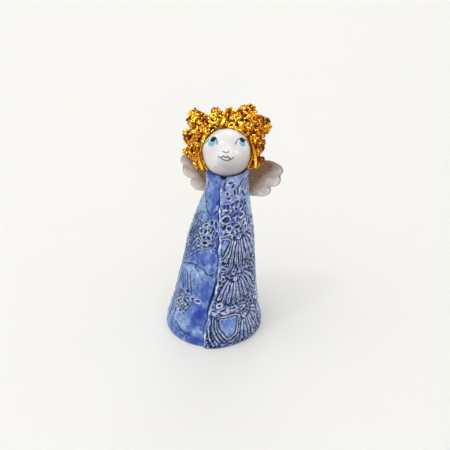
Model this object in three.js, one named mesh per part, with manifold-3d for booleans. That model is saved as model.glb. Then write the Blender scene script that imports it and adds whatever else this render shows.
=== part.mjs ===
// A ceramic angel figurine, in millimetres, with +Z up and its front towards -Y.
// It is put together as a potter does it: a rolled slab lapped down the front for the dress, a plug
// of clay in its neck, a hollow ball for the head, two slab wings on the back, smooth locks round
// the face, and tufts of clay strands for the hair.
import * as THREE from "three";
import { mergeVertices } from "three/addons/utils/BufferGeometryUtils.js";
import Module from "manifold-3d";

const wasm = await Module();
wasm.setup();

// Driving dimensions
const DRESS_HEIGHT = 142;
const HEM_RADIUS = 39.3;
const NECK_LEAN = 11; // the collar's centre lies this far to +X of the hem's
const SLAB = 4;
const EDGE_ROUND = 1;
const LAP_STEP = 2.4; // the lapped edge stands this proud of the panel beneath it
const NOTCH_DEPTH = 3.2; // the V where the two corners of the collar meet
const LACE_RISE = 0.55; // the lace's forms stand this proud of the slab
const FAN_BOSS = 2.4; // radius of the boss that a fan hangs from
const FAN_AIM = 6; // a fan's petals point away from a place this far above its boss
const PETAL_START = 3.4; // from the boss's middle to where the petals begin
const CORD_WIDTH = 1.6; // of the cord round a plain shield
const HEAD_RADIUS = 18.6;
const HEAD_WALL = 4.5;
const HEAD_SINK = 6.1; // the ball's lowest point lies this far below the collar's rim
const HEAD_SHIFT = -0.5;
const VENT_RADIUS = 2.5;
const PLUG_LENGTH = 20;
const PLUG_SINK = 3; // the plug's top lies this far below the collar's rim
const WING_SPAN = 40.4;
const WING_THICKNESS = 3.4;
const WING_RIM = 2.4;
const WING_CUP = 5; // how far the tip curls forward
const WING_ROOT_LENGTH = 5;
const WING_ROOT_BESIDE = 5; // the root's distance from the dress's middle line
const WING_ROOT_SINK = 5.5; // how deep the root lies behind the dress's outer face
const WING_ROOT_BELOW = 20; // the root's height below the collar's rim
const HAIR_LENGTH = 30; // the longest tuft's, from the scalp to its tip
const TUFT_BED = 5; // how far below the scalp a tuft's lump begins, before it is trimmed
const LOCK_WIDTH = 3.8;
const LOCK_DEPTH = 3.4;
const CLEARANCE = 0.3;
const OVERRUN = 2; // how far a cutter runs past what it cuts
const WELD = 0.04; // points closer than this are one

const TUFT_FULLNESS = 1.5; // width of a tuft's lump against the space between its neighbours
const KNOBS = 16;
const KNOB_DEPTH = 0.28; // how far the lump draws in between its knobs, as a share
const KNOB_SPREAD = THREE.MathUtils.degToRad(36);
const FACE_TILT = THREE.MathUtils.degToRad(27); // the face looks up
const LAP_SPREAD = THREE.MathUtils.degToRad(52); // the lap fades out over this angle
const LAP_EDGE = THREE.MathUtils.degToRad(1.5);
const NOTCH_SPREAD = THREE.MathUtils.degToRad(15);
const WING_LEAN = THREE.MathUtils.degToRad(14);
const WING_SWEEPS = { right: THREE.MathUtils.degToRad(15), left: THREE.MathUtils.degToRad(45) };

const GLAZED_BLUE = new THREE.MeshStandardMaterial({ color: 0x5f7fc4, roughness: 0.25 });
const BARE_CLAY = new THREE.MeshStandardMaterial({ color: 0xd8cdbf, roughness: 0.8 });
const WHITE_GLAZE = new THREE.MeshStandardMaterial({ color: 0xe9e7e3, roughness: 0.25 });
const STAINED_WHITE = new THREE.MeshStandardMaterial({ color: 0xcdbfb2, roughness: 0.3 });
const GOLD_LUSTRE = new THREE.MeshStandardMaterial({
  color: 0xd9951d,
  roughness: 0.25,
  metalness: 0.7,
});

// Turns a closed geometry into a solid that can be joined and cut.
function solidOf(geometry, weld = WELD / 100) {
  const bare = geometry.clone();
  bare.deleteAttribute("normal");
  bare.deleteAttribute("uv");
  const merged = mergeVertices(bare, weld);
  return new wasm.Manifold(
    new wasm.Mesh({
      numProp: 3,
      vertProperties: merged.attributes.position.array,
      triVerts: new Uint32Array(merged.index.array),
    }),
  );
}

function geometryOf(solid) {
  const mesh = solid.getMesh();
  const geometry = new THREE.BufferGeometry();
  geometry.setAttribute("position", new THREE.BufferAttribute(mesh.vertProperties, mesh.numProp));
  geometry.setIndex(new THREE.BufferAttribute(mesh.triVerts, 1));
  geometry.computeVertexNormals();
  return geometry;
}

// The largest body of a solid, its closest points welded, without slivers cut loose.
function largestBody(solid) {
  const bodies = solidOf(geometryOf(solid), WELD).decompose();
  return bodies.reduce((a, b) => (a.volume() > b.volume() ? a : b));
}

// Closed skin over rings of equally many points. The end rings are closed by fans, or, with wrap,
// joined to each other.
function skin(rings, wrap = false) {
  const around = rings[0].length;
  const points = rings.flat();
  const faces = [];
  const at = (ring, i) => (ring % rings.length) * around + (i % around);
  const bands = wrap ? rings.length : rings.length - 1;
  for (let ring = 0; ring < bands; ring++) {
    for (let i = 0; i < around; i++) {
      faces.push(at(ring, i), at(ring, i + 1), at(ring + 1, i + 1));
      faces.push(at(ring, i), at(ring + 1, i + 1), at(ring + 1, i));
    }
  }
  if (!wrap) {
    const last = rings.length - 1;
    const [start, end] = [points.length, points.length + 1];
    points.push(middleOf(rings[0]), middleOf(rings[last]));
    for (let i = 0; i < around; i++) {
      faces.push(start, at(0, i + 1), at(0, i));
      faces.push(end, at(last, i), at(last, i + 1));
    }
  }
  const geometry = new THREE.BufferGeometry().setFromPoints(points);
  geometry.setIndex(faces);
  geometry.computeVertexNormals();
  return geometry;
}

function middleOf(points) {
  const sum = points.reduce((total, point) => total.add(point), new THREE.Vector3());
  return sum.divideScalar(points.length);
}

// The value in a column of a table at a place along its first column, on a smooth curve.
function along(rows, column, place) {
  const last = rows.length - 1;
  let i = 0;
  while (i < last - 1 && rows[i + 1][0] < place) i++;
  const slope = (row) => {
    const [before, after] = [rows[Math.max(row - 1, 0)], rows[Math.min(row + 1, last)]];
    return (after[column] - before[column]) / (after[0] - before[0]);
  };
  const width = rows[i + 1][0] - rows[i][0];
  const s = Math.min(Math.max((place - rows[i][0]) / width, 0), 1);
  const eased = s * s * (3 - 2 * s);
  const leaving = slope(i) * width * s * (1 - s) * (1 - s);
  const arriving = slope(i + 1) * width * s * s * (1 - s);
  return rows[i][column] * (1 - eased) + rows[i + 1][column] * eased + leaving - arriving;
}

const fadeOut = (share) => 1 - THREE.MathUtils.smoothstep(share, 0, 1);

function meshOf(name, geometry, material) {
  const mesh = new THREE.Mesh(geometry, material);
  mesh.name = name;
  return mesh;
}

// The dress: a slab rolled into a leaning cone, its right panel lapped over the left one in front.
const DRESS_COLUMNS = 44;
// Shares of DRESS_HEIGHT, HEM_RADIUS and NECK_LEAN, from the hem up.
const DRESS_SHARES = [
  [0, 1, 0],
  [0.065, 0.967, 0.04],
  [0.135, 0.905, 0.09],
  [0.275, 0.815, 0.26],
  [0.445, 0.733, 0.42],
  [0.577, 0.668, 0.56],
  [0.704, 0.565, 0.75],
  [0.83, 0.462, 0.93],
  [0.923, 0.418, 0.985],
  [1, 0.44, 1],
];
// Share of DRESS_HEIGHT, and the lap edge's angle there, from the front towards +X, in degrees.
const LAP_PATH_SHARES = [
  [0, -12],
  [0.15, -11.5],
  [0.26, -8],
  [0.38, -3],
  [0.55, -3.5],
  [0.68, -8],
  [0.79, -14.5],
  [0.88, -18],
  [1, -13],
];

const dressRadius = (share) => HEM_RADIUS * along(DRESS_SHARES, 1, share);
const dressLean = (share) => NECK_LEAN * along(DRESS_SHARES, 2, share);
const lapAngle = (share) => THREE.MathUtils.degToRad(along(LAP_PATH_SHARES, 1, share));

// How high the slab reaches at an angle past the lap's edge: less at the notch.
function dressTop(past) {
  const away = Math.min(past, 2 * Math.PI - past);
  return DRESS_HEIGHT - NOTCH_DEPTH * fadeOut(away / NOTCH_SPREAD);
}

// One ring of the dress, at a share of its height and an inset from its outer face.
function dressRing(share, inset, lapped = true) {
  return Array.from({ length: DRESS_COLUMNS + 1 }, (_, column) => {
    const past = (column / DRESS_COLUMNS) * (2 * Math.PI - LAP_EDGE);
    const height = share * dressTop(past);
    const place = height / DRESS_HEIGHT;
    const angle = lapAngle(place) + past;
    const raised = lapped ? LAP_STEP * fadeOut(past / LAP_SPREAD) : 0;
    const radius = dressRadius(place) + raised - inset;
    return new THREE.Vector3(
      dressLean(place) + radius * Math.sin(angle),
      -radius * Math.cos(angle),
      height,
    );
  });
}

// The dress's outer face, from hem to collar, moved inwards by an inset.
function dressRows(inset) {
  const rows = 14;
  const edge = EDGE_ROUND / DRESS_HEIGHT;
  return Array.from({ length: rows }, (_, row) =>
    dressRing(THREE.MathUtils.lerp(edge, 1 - edge, row / (rows - 1)), inset),
  );
}

function dressSolid() {
  const edge = EDGE_ROUND / DRESS_HEIGHT;
  const rings = [dressRing(0, EDGE_ROUND), ...dressRows(0)];
  rings.push(dressRing(1, EDGE_ROUND));
  rings.push(dressRing(1, SLAB - EDGE_ROUND, false));
  for (const [share] of DRESS_SHARES.toReversed()) {
    rings.push(dressRing(Math.min(share, 1 - edge), SLAB, false));
  }
  const slab = solidOf(skin(rings, true));
  return wasm.Manifold.union([slab, ...laceSolids()]).subtract(
    ballSpace().translate(headCentre.toArray()),
  );
}

// The lace that was pressed into the slab: its long fans of petals and its plain shields, on the
// right panel and round the back. Turns are in degrees from the front towards +X.
const LACE_TURNS = [0, 72, 146, 215]; // where its repeats begin
const LACE_END = 262; // the left panel begins past this turn
const FAN_BOW = 0.3;
const PETAL_FULLNESS = 0.38; // half of a petal's width at its tip against the space for it
const FANS = [
  { turn: 32, levelShare: 0.652, reachShare: 0.169, first: -33, last: 50, petals: 8 },
  { turn: 25.6, levelShare: 0.413, reachShare: 0.158, first: -40, last: 66, petals: 10 },
  { turn: 41.6, levelShare: 0.161, reachShare: 0.148, first: -38, last: 72, petals: 10 },
];
const PETAL_LENGTH_SHARES = [0.9, 1, 0.94, 0.98, 0.88, 1, 0.96];
// Share of a petal's length, and its width there as a share of its full width.
const PETAL_WIDTH_SHARES = [
  [0, 0.3],
  [0.6, 0.9],
  [1, 0.7],
];
// Turn from the repeat's start, and share of DRESS_HEIGHT.
const SHIELD_PATH_SHARES = [
  [34, 0.173],
  [26, 0.186],
  [14, 0.189],
  [3.5, 0.185],
  [3.5, 0.141],
  [8.5, 0.092],
  [14, 0.06],
  [19.5, 0.051],
  [25, 0.067],
  [29.5, 0.106],
];

// A spot on the dress's outer face at a turn and a height, moved outwards.
function dressSpot(turn, height, outwards) {
  const place = height / DRESS_HEIGHT;
  const angle = THREE.MathUtils.degToRad(turn);
  const past = THREE.MathUtils.euclideanModulo(angle - lapAngle(place), 2 * Math.PI);
  const radius = dressRadius(place) + LAP_STEP * fadeOut(past / LAP_SPREAD) + outwards;
  return new THREE.Vector3(
    dressLean(place) + radius * Math.sin(angle),
    -radius * Math.cos(angle),
    height,
  );
}

// The turn at a distance across from another turn, at a height.
function turnAcross(turn, across, height) {
  return turn + THREE.MathUtils.radToDeg(across / dressRadius(height / DRESS_HEIGHT));
}

// One petal: a low ridge on a line that leaves the fan's middle and bows down.
function petalRings(fan, start, petal) {
  const step = (fan.last - fan.first) / fan.petals;
  const tilt = THREE.MathUtils.degToRad(fan.first + (petal + 0.5) * step);
  const reach = DRESS_HEIGHT * fan.reachShare + FAN_AIM;
  const length = reach * PETAL_LENGTH_SHARES[petal % PETAL_LENGTH_SHARES.length];
  const fullHalf = length * THREE.MathUtils.degToRad(step) * PETAL_FULLNESS;
  return PETAL_WIDTH_SHARES.map(([lengthShare, widthShare]) => {
    const distance = THREE.MathUtils.lerp(PETAL_START + FAN_AIM, length, lengthShare);
    const way = tilt * (1 + FAN_BOW * (1 - (1.5 * distance) / reach));
    const corner = (aside, outwards) => {
      const across = distance * Math.sin(way) + aside * Math.cos(way);
      const up = aside * Math.sin(way) - distance * Math.cos(way);
      const height = DRESS_HEIGHT * fan.levelShare + FAN_AIM + up;
      return dressSpot(turnAcross(start + fan.turn, across, height), height, outwards);
    };
    const half = fullHalf * widthShare;
    return [corner(half, -LACE_RISE), corner(0, LACE_RISE), corner(-half, -LACE_RISE)];
  });
}

function bossRings(fan, start) {
  const sides = 8;
  const ring = (radius, outwards) =>
    Array.from({ length: sides }, (_, i) => {
      const angle = (i / sides) * 2 * Math.PI;
      const height = DRESS_HEIGHT * fan.levelShare + radius * Math.cos(angle);
      const turn = turnAcross(start + fan.turn, -radius * Math.sin(angle), height);
      return dressSpot(turn, height, outwards);
    });
  return [ring(FAN_BOSS, -LACE_RISE), ring(FAN_BOSS / 2, 1.5 * LACE_RISE)];
}

// The cord round a shield: a low ridge along a closed line.
function shieldRings(start) {
  const spots = SHIELD_PATH_SHARES.map(([turn, share]) => [start + turn, DRESS_HEIGHT * share]);
  const middleTurn = spots.reduce((sum, [turn]) => sum + turn, 0) / spots.length;
  const middleHeight = spots.reduce((sum, [, height]) => sum + height, 0) / spots.length;
  return spots.map(([turn, height]) => {
    const across = THREE.MathUtils.degToRad(turn - middleTurn) * HEM_RADIUS;
    const away = Math.hypot(across, height - middleHeight);
    const beside = (side, outwards) => {
      const moved = height + (side * (height - middleHeight)) / away;
      return dressSpot(turnAcross(turn, (side * across) / away, height), moved, outwards);
    };
    return [
      beside(-CORD_WIDTH / 2, -LACE_RISE),
      beside(0, LACE_RISE),
      beside(CORD_WIDTH / 2, -LACE_RISE),
    ];
  });
}

function laceSolids() {
  const solids = [];
  for (const start of LACE_TURNS) {
    solids.push(solidOf(skin(shieldRings(start), true)));
    for (const fan of FANS) {
      solids.push(solidOf(skin(bossRings(fan, start))));
      for (let petal = 0; petal < fan.petals; petal++) {
        const tilt = fan.first + ((petal + 0.5) * (fan.last - fan.first)) / fan.petals;
        if (start + fan.turn + tilt > LACE_END) continue;
        solids.push(solidOf(skin(petalRings(fan, start, petal))));
      }
    }
  }
  return solids;
}

// The whole space inside the dress's outer face, grown by a margin, for cutting what meets it.
function dressSpace(margin) {
  const above = dressRing(1, EDGE_ROUND - margin).map((point) => point.setZ(point.z + margin));
  return solidOf(skin([...dressRows(-margin), above]));
}

// The head: a hollow ball that sits in the collar, on the neck plug, with a vent at its foot.
const headCentre = new THREE.Vector3(
  NECK_LEAN + HEAD_SHIFT,
  0,
  DRESS_HEIGHT - HEAD_SINK + HEAD_RADIUS,
);

function ball(radius, sectors, rows) {
  const geometry = new THREE.SphereGeometry(radius, sectors, rows);
  return solidOf(geometry.rotateX(Math.PI / 2));
}

// A ball wide enough that even its flats clear the head.
function ballSpace() {
  const sectors = 24;
  return ball((HEAD_RADIUS + CLEARANCE) / Math.cos(Math.PI / sectors), sectors, 16);
}

function ventBore(length, middleHeight) {
  const bore = new THREE.CylinderGeometry(VENT_RADIUS, VENT_RADIUS, length, 16);
  return solidOf(bore.rotateX(Math.PI / 2).translate(headCentre.x, 0, middleHeight));
}

function headSolid() {
  const bottom = headCentre.z - HEAD_RADIUS;
  const hollow = ball(HEAD_RADIUS - HEAD_WALL, 14, 10);
  return ball(HEAD_RADIUS, 28, 20)
    .subtract(hollow)
    .translate(headCentre.toArray())
    .subtract(ventBore(2 * (HEAD_WALL + OVERRUN), bottom));
}

// The plug of clay that closes the neck and carries the ball.
function plugSolid() {
  const top = DRESS_HEIGHT - PLUG_SINK;
  const rows = 5;
  const rings = [];
  for (let row = 0; row < rows; row++) {
    const height = top - PLUG_LENGTH * (1 - row / (rows - 1));
    const share = height / DRESS_HEIGHT;
    const radius = dressRadius(share) - SLAB - 1.5 * CLEARANCE;
    const lean = dressLean(share);
    rings.push(
      Array.from({ length: 24 }, (_, i) => {
        const angle = (i / 24) * 2 * Math.PI;
        return new THREE.Vector3(
          lean + radius * Math.sin(angle),
          -radius * Math.cos(angle),
          height,
        );
      }),
    );
  }
  return solidOf(skin(rings))
    .subtract(ballSpace().translate(headCentre.toArray()))
    .subtract(ventBore(2 * (PLUG_LENGTH + OVERRUN), top));
}

// The wings: cupped slabs with three feather lobes, slipped to the back of the dress.
// Angle from straight out, upwards, in degrees, and the rim's distance as a share of WING_SPAN.
const WING_RIM_SHARES = [
  [-62, 0.26],
  [-54, 0.3],
  [-46, 0.36],
  [-40, 0.42],
  [-36, 0.475],
  [-32, 0.55],
  [-29, 0.63],
  [-25.5, 0.7],
  [-21, 0.755],
  [-16, 0.775],
  [-12, 0.765],
  [-9.8, 0.74],
  [-8.6, 0.83],
  [-5.6, 0.9],
  [-2.6, 0.93],
  [1, 0.94],
  [4.2, 0.935],
  [6, 0.94],
  [8.5, 0.98],
  [11, 1],
  [14.5, 0.995],
  [18, 0.97],
  [21.5, 0.925],
  [25, 0.885],
  [28.5, 0.835],
  [33, 0.76],
  [39, 0.68],
  [47, 0.58],
  [58, 0.46],
  [76, 0.36],
];

// A loop round the wing's thickness along one ray from the root, in the wing's own frame, grown by
// a margin.
function wingLoop([degrees, rimShare], margin) {
  const rim = WING_SPAN * rimShare + margin;
  const angle = THREE.MathUtils.degToRad(degrees);
  const reachShares = [0, 0.35, 0.7];
  const reaches = reachShares.map((share) => THREE.MathUtils.lerp(WING_ROOT_LENGTH, rim, share));
  reaches.push(rim - EDGE_ROUND, rim);
  const point = (reach, side) => {
    const share = reach / WING_SPAN;
    const full = THREE.MathUtils.lerp(WING_THICKNESS, WING_RIM, Math.min(share, 1));
    const thickness = reach === rim ? full - EDGE_ROUND : full;
    const forward = WING_CUP * share * share + side * (thickness / 2 + margin);
    return new THREE.Vector3(reach * Math.cos(angle), reach * Math.sin(angle), forward);
  };
  const front = reaches.map((reach) => point(reach, 1));
  const back = reaches.map((reach) => point(reach, -1)).reverse();
  return [...front, ...back];
}

function wingSolid(sideName, margin = 0) {
  const side = sideName === "right" ? 1 : -1;
  const sweep = WING_SWEEPS[sideName];
  const height = DRESS_HEIGHT - WING_ROOT_BELOW;
  const root = new THREE.Vector3(
    dressLean(height / DRESS_HEIGHT) + side * WING_ROOT_BESIDE,
    dressRadius(height / DRESS_HEIGHT) - WING_ROOT_SINK,
    height,
  );
  const outward = new THREE.Vector3(side * Math.cos(sweep), Math.sin(sweep), 0);
  const upward = new THREE.Vector3(0, Math.sin(WING_LEAN), Math.cos(WING_LEAN));
  const forward = new THREE.Vector3(side * Math.sin(sweep), -Math.cos(sweep), 0);
  const place = (p) =>
    root
      .clone()
      .addScaledVector(outward, p.x)
      .addScaledVector(upward, p.y)
      .addScaledVector(forward, p.z);
  const rings = WING_RIM_SHARES.map((ray) => wingLoop(ray, margin).map(place));
  if (side < 0) rings.reverse();
  return solidOf(skin(rings)).subtract(dressSpace(CLEARANCE));
}

// The hair. Everything here is in the head's own frame: the ball's middle at 0, the face
// towards -Y, and the crown towards +Z.
const HAIR_BACK = new THREE.Vector3(0, 1, 0);

// Direction from the ball's middle: turn is clockwise from the crown as the face is seen, and
// back is the angle behind the plane that parts the face from the hair.
function hairDirection(turn, back) {
  const [t, b] = [THREE.MathUtils.degToRad(turn), THREE.MathUtils.degToRad(back)];
  return new THREE.Vector3(Math.sin(t) * Math.cos(b), Math.sin(b), Math.cos(t) * Math.cos(b));
}

// A tube along a curve, its ends drawn in. Its depth lies towards the face's front.
function strand(curve, steps, sides, halfWidth, halfDepth) {
  const rings = [];
  for (let step = 0; step <= steps; step++) {
    const share = step / steps;
    const centre = curve.getPointAt(share);
    const ahead = curve.getTangentAt(share);
    const across = new THREE.Vector3().crossVectors(ahead, HAIR_BACK).normalize();
    const away = new THREE.Vector3().crossVectors(across, ahead);
    const swell = step === 0 || step === steps ? 0.55 : 1;
    rings.push(
      Array.from({ length: sides }, (_, i) => {
        const angle = (i / sides) * 2 * Math.PI;
        return centre
          .clone()
          .addScaledVector(across, -swell * halfWidth * Math.cos(angle))
          .addScaledVector(away, swell * halfDepth * Math.sin(angle));
      }),
    );
  }
  return solidOf(skin(rings));
}

// Locks: where each one runs, as turn, back and the height of its middle above the ball, in
// degrees and shares of LOCK_WIDTH.
const LOCK_PATH_SHARES = {
  forehead_lock_left: [
    [-15, -12, 0.5],
    [-9, -10, 1],
    [-3, -6, 1.9],
  ],
  forehead_lock_right: [
    [37, -12, 0.5],
    [31, -10, 1],
    [26, -6, 1.9],
  ],
  side_lock_right: [
    [66, -9, 0.5],
    [82, -10, 0.55],
    [96, -11, 0.8],
    [108, -11, 1.2],
    [118, -11, 1.6],
  ],
  side_lock_left: [
    [-90, -9, 0.8],
    [-103, -11, 0.85],
    [-114, -11, 0.9],
    [-125, -11, 1.05],
  ],
};

function lockSolid(path, margin) {
  const points = path.map(([turn, back, lift]) =>
    hairDirection(turn, back).multiplyScalar(HEAD_RADIUS + CLEARANCE + lift * LOCK_WIDTH),
  );
  const curve = new THREE.CatmullRomCurve3(points);
  return strand(curve, 8, 8, LOCK_WIDTH / 2 + margin, LOCK_DEPTH / 2 + margin);
}

// Tufts stand in rows from the hairline to the back of the head. Each row has its angle behind
// the face, and for each of its tufts the turn and the length as a share of HAIR_LENGTH.
const TUFT_ROWS = [
  {
    name: "hairline",
    back: 6,
    lengthShares: [
      [-118, 0.181],
      [-95, 0.24],
      [-72, 0.285],
      [-50, 0.418],
      [-28, 0.42],
      [-5, 0.27],
      [18, 0.389],
      [41, 0.433],
      [63, 0.403],
      [86, 0.255],
      [111, 0.196],
    ],
  },
  {
    name: "crown",
    back: 23,
    lengthShares: [
      [-112, 0.4],
      [-88, 0.63],
      [-66, 0.745],
      [-42, 0.997],
      [-15, 0.72],
      [5, 0.685],
      [27, 0.952],
      [52, 0.952],
      [76, 0.56],
      [103, 0.478],
    ],
  },
  {
    name: "back",
    back: 47,
    lengthShares: [
      [-105, 0.418],
      [-70, 0.626],
      [-35, 0.789],
      [0, 0.656],
      [34, 0.789],
      [68, 0.715],
      [105, 0.448],
    ],
  },
  {
    name: "nape",
    back: 72,
    lengthShares: [
      [-98, 0.38],
      [-34, 0.567],
      [34, 0.596],
      [98, 0.38],
    ],
  },
];

function tuftList() {
  return TUFT_ROWS.flatMap(({ name, back, lengthShares }) =>
    lengthShares.map(([turn, share], i) => ({
      name: `hair_${name}_${String(i + 1).padStart(2, "0")}`,
      direction: hairDirection(turn, back),
      reach: HEAD_RADIUS + HAIR_LENGTH * share,
    })),
  );
}

// Directions of a lump's knobs, spread evenly over a ball with one at its top.
const GOLDEN_TURN = Math.PI * (3 - Math.sqrt(5));
const KNOB_DIRECTIONS = Array.from({ length: KNOBS }, (_, i) => {
  const rise = 1 - (2 * i) / (KNOBS - 0.5);
  const girth = Math.sqrt(1 - rise * rise);
  const turn = i * GOLDEN_TURN;
  return new THREE.Vector3(girth * Math.cos(turn), rise, girth * Math.sin(turn));
});

// One tuft: a knobby lump on the scalp. The cell's angle is half the way to the nearest tuft, and
// the lump reaches past it, to be trimmed against its neighbours.
function tuftSolid(tuft, index, cellAngle) {
  const { direction, reach } = tuft;
  const halfLength = (reach - HEAD_RADIUS + TUFT_BED) / 2;
  const middle = reach - halfLength;
  const halfWidth = TUFT_FULLNESS * (middle + halfLength / 2) * Math.tan(cellAngle);
  const lump = new THREE.IcosahedronGeometry(1, 2);
  const spots = lump.attributes.position;
  const spot = new THREE.Vector3();
  for (let i = 0; i < spots.count; i++) {
    spot.fromBufferAttribute(spots, i).normalize();
    const nearest = Math.min(...KNOB_DIRECTIONS.map((knob) => knob.angleTo(spot)));
    spot.multiplyScalar(1 - KNOB_DEPTH * (1 - fadeOut(nearest / KNOB_SPREAD)));
    spots.setXYZ(i, spot.x, spot.y, spot.z);
  }
  lump.rotateY(index);
  lump.scale(halfWidth, halfLength, halfWidth);
  lump.applyQuaternion(new THREE.Quaternion().setFromUnitVectors(HAIR_BACK, direction));
  lump.translate(...direction.clone().multiplyScalar(middle).toArray());
  return solidOf(lump);
}

// Keeps the tuft on its own side of the plane midway to each neighbour, and off the ball, the
// locks and the dress.
function trimTuft(solid, tuft, tufts, obstacles) {
  let trimmed = solid;
  for (const other of tufts) {
    if (other === tuft) continue;
    const towards = tuft.direction.clone().sub(other.direction).normalize();
    trimmed = trimmed.trimByPlane(towards.toArray(), CLEARANCE / 2);
  }
  for (const obstacle of obstacles) trimmed = trimmed.subtract(obstacle);
  return largestBody(trimmed);
}

// Putting it together, with the origin under the middle of the whole figurine.
const head = new THREE.Group();
head.position.copy(headCentre);
head.rotation.x = -FACE_TILT;
head.updateMatrix();

const toHead = head.matrix.clone().invert();
const inHead = (solid) => solidOf(geometryOf(solid).applyMatrix4(toHead));
const dressInHead = inHead(dressSpace(CLEARANCE));
const locks = Object.entries(LOCK_PATH_SHARES);
for (const [name, path] of locks) {
  const solid = lockSolid(path, 0).subtract(ballSpace()).subtract(dressInHead);
  head.add(meshOf(name, geometryOf(largestBody(solid)), GOLD_LUSTRE));
}
const obstacles = [
  ballSpace(),
  dressInHead,
  inHead(wingSolid("right", CLEARANCE)),
  inHead(wingSolid("left", CLEARANCE)),
  ...locks.map(([, path]) => lockSolid(path, CLEARANCE)),
];
const tufts = tuftList();
tufts.forEach((tuft, index) => {
  const angles = tufts
    .filter((other) => other !== tuft)
    .map((other) => tuft.direction.angleTo(other.direction));
  const lump = tuftSolid(tuft, index, Math.min(...angles) / 2);
  const solid = trimTuft(lump, tuft, tufts, obstacles);
  head.add(meshOf(tuft.name, geometryOf(solid), GOLD_LUSTRE));
});

const figurine = new THREE.Group();
figurine.add(
  meshOf("dress_slab", geometryOf(dressSolid()), GLAZED_BLUE),
  meshOf("neck_plug", geometryOf(plugSolid()), BARE_CLAY),
  meshOf("head_ball", geometryOf(headSolid()), WHITE_GLAZE),
  meshOf("wing_right", geometryOf(wingSolid("right")), STAINED_WHITE),
  meshOf("wing_left", geometryOf(wingSolid("left")), STAINED_WHITE),
  head,
);
const middle = new THREE.Box3().setFromObject(figurine, true).getCenter(new THREE.Vector3());
figurine.position.set(-middle.x, -middle.y, 0);

export default figurine;
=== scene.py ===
import math

import bpy
import numpy as np
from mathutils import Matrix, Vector


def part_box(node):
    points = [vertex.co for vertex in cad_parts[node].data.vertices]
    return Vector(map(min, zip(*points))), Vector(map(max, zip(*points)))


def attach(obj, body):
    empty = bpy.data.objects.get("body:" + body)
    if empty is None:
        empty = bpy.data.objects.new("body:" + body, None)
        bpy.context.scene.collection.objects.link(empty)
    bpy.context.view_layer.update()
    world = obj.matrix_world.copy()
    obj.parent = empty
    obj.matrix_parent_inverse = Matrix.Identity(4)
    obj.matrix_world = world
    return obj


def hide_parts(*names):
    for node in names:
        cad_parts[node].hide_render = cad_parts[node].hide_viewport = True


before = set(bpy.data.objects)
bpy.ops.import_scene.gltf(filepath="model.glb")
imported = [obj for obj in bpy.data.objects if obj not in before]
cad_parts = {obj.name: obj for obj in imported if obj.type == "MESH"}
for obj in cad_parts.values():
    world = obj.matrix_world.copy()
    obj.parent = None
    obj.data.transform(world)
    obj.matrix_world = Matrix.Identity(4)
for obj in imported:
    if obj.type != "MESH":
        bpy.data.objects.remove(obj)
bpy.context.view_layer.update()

# The stand: a sheet of pale paper under soft studio light, seen from a little above. Everything is
# in metres and set out from two points of the figurine: the middle of its head, and its foot, the
# middle of the dress's hem.
MM = 0.001
HEAD_RADIUS = 18.6 * MM
NECK_LEAN = 11 * MM  # the collar's centre lies this far to +X of the hem's
HEAD_SHIFT = -0.5 * MM  # and the ball's centre this far to +X of the collar's

ball_low, ball_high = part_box("head_ball")
HEAD = Vector(((ball_low.x + ball_high.x) / 2, (ball_low.y + ball_high.y) / 2, ball_high.z - HEAD_RADIUS))
FOOT = Vector((HEAD.x - NECK_LEAN - HEAD_SHIFT, HEAD.y, 0))

VIEW_HEIGHT = math.radians(30.2)  # the camera looks down by this angle
VIEW_DISTANCE = 0.8
VIEW_LENS = 81.04  # mm
VIEW_FILM = 36  # mm, and square
VIEW_END = 50
VIEW_TARGET = FOOT + Vector((9.2, 0, 91)) * MM
STUDIO_LIGHT = (0.98, 0.985, 1.0, 1)
STUDIO_STRENGTH = 0.70
PAPER_SIZE = 30.0
PAPER_WHITE = (0.86, 0.847, 0.80, 1)
PAPER_ROUGHNESS = 0.95

look = Vector((0, math.cos(VIEW_HEIGHT), -math.sin(VIEW_HEIGHT)))
camera = bpy.data.objects.new("camera", bpy.data.cameras.new("camera"))
camera.data.lens = VIEW_LENS
camera.data.sensor_width = VIEW_FILM
camera.data.clip_end = VIEW_END
camera.location = VIEW_TARGET - look * VIEW_DISTANCE
camera.rotation_euler = look.to_track_quat("-Z", "Y").to_euler()
bpy.context.scene.collection.objects.link(camera)
bpy.context.scene.camera = camera
bpy.context.scene.view_settings.view_transform = "Standard"

world = bpy.data.worlds.new("studio")
world.use_nodes = True
world.node_tree.nodes["Background"].inputs["Color"].default_value = STUDIO_LIGHT
world.node_tree.nodes["Background"].inputs["Strength"].default_value = STUDIO_STRENGTH
bpy.context.scene.world = world

# Each lamp's place from the head, its width, its power in watts, and whether it only shows as a
# glint in the glaze.
LAMPS = {
    "window": ((-0.8, -0.5, 2.6), 3.4, 30, False),
    "bulb": ((-0.83, -0.46, 2.31), 0.3, 2.5, False),
    "front": ((0.3, -2.5, 0.6), 0.9, 7, False),
    "back": ((0.2, 1.9, 1.5), 1.4, 9, False),
    "top_glint": ((-0.83, -0.46, 2.31), 0.3, 100, True),
    "front_glint": ((-1.3, -2.3, 0.35), 0.7, 20, True),
    "side_glint": ((1.86, -1.4, 0.62), 0.8, 24, True),
}
for name, (place, width, power, glint) in LAMPS.items():
    lamp = bpy.data.objects.new(name, bpy.data.lights.new(name, "AREA"))
    lamp.data.size = width
    lamp.data.energy = power
    lamp.visible_diffuse = not glint
    lamp.location = HEAD + Vector(place)
    lamp.rotation_euler = (-Vector(place)).to_track_quat("-Z", "Y").to_euler()
    bpy.context.scene.collection.objects.link(lamp)


def new_finish(name, sockets):
    """A material with these values on its shader's own sockets."""
    finish = bpy.data.materials.new(name)
    finish.use_nodes = True
    for socket, value in sockets.items():
        finish.node_tree.nodes["Principled BSDF"].inputs[socket].default_value = value
    return finish


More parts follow.
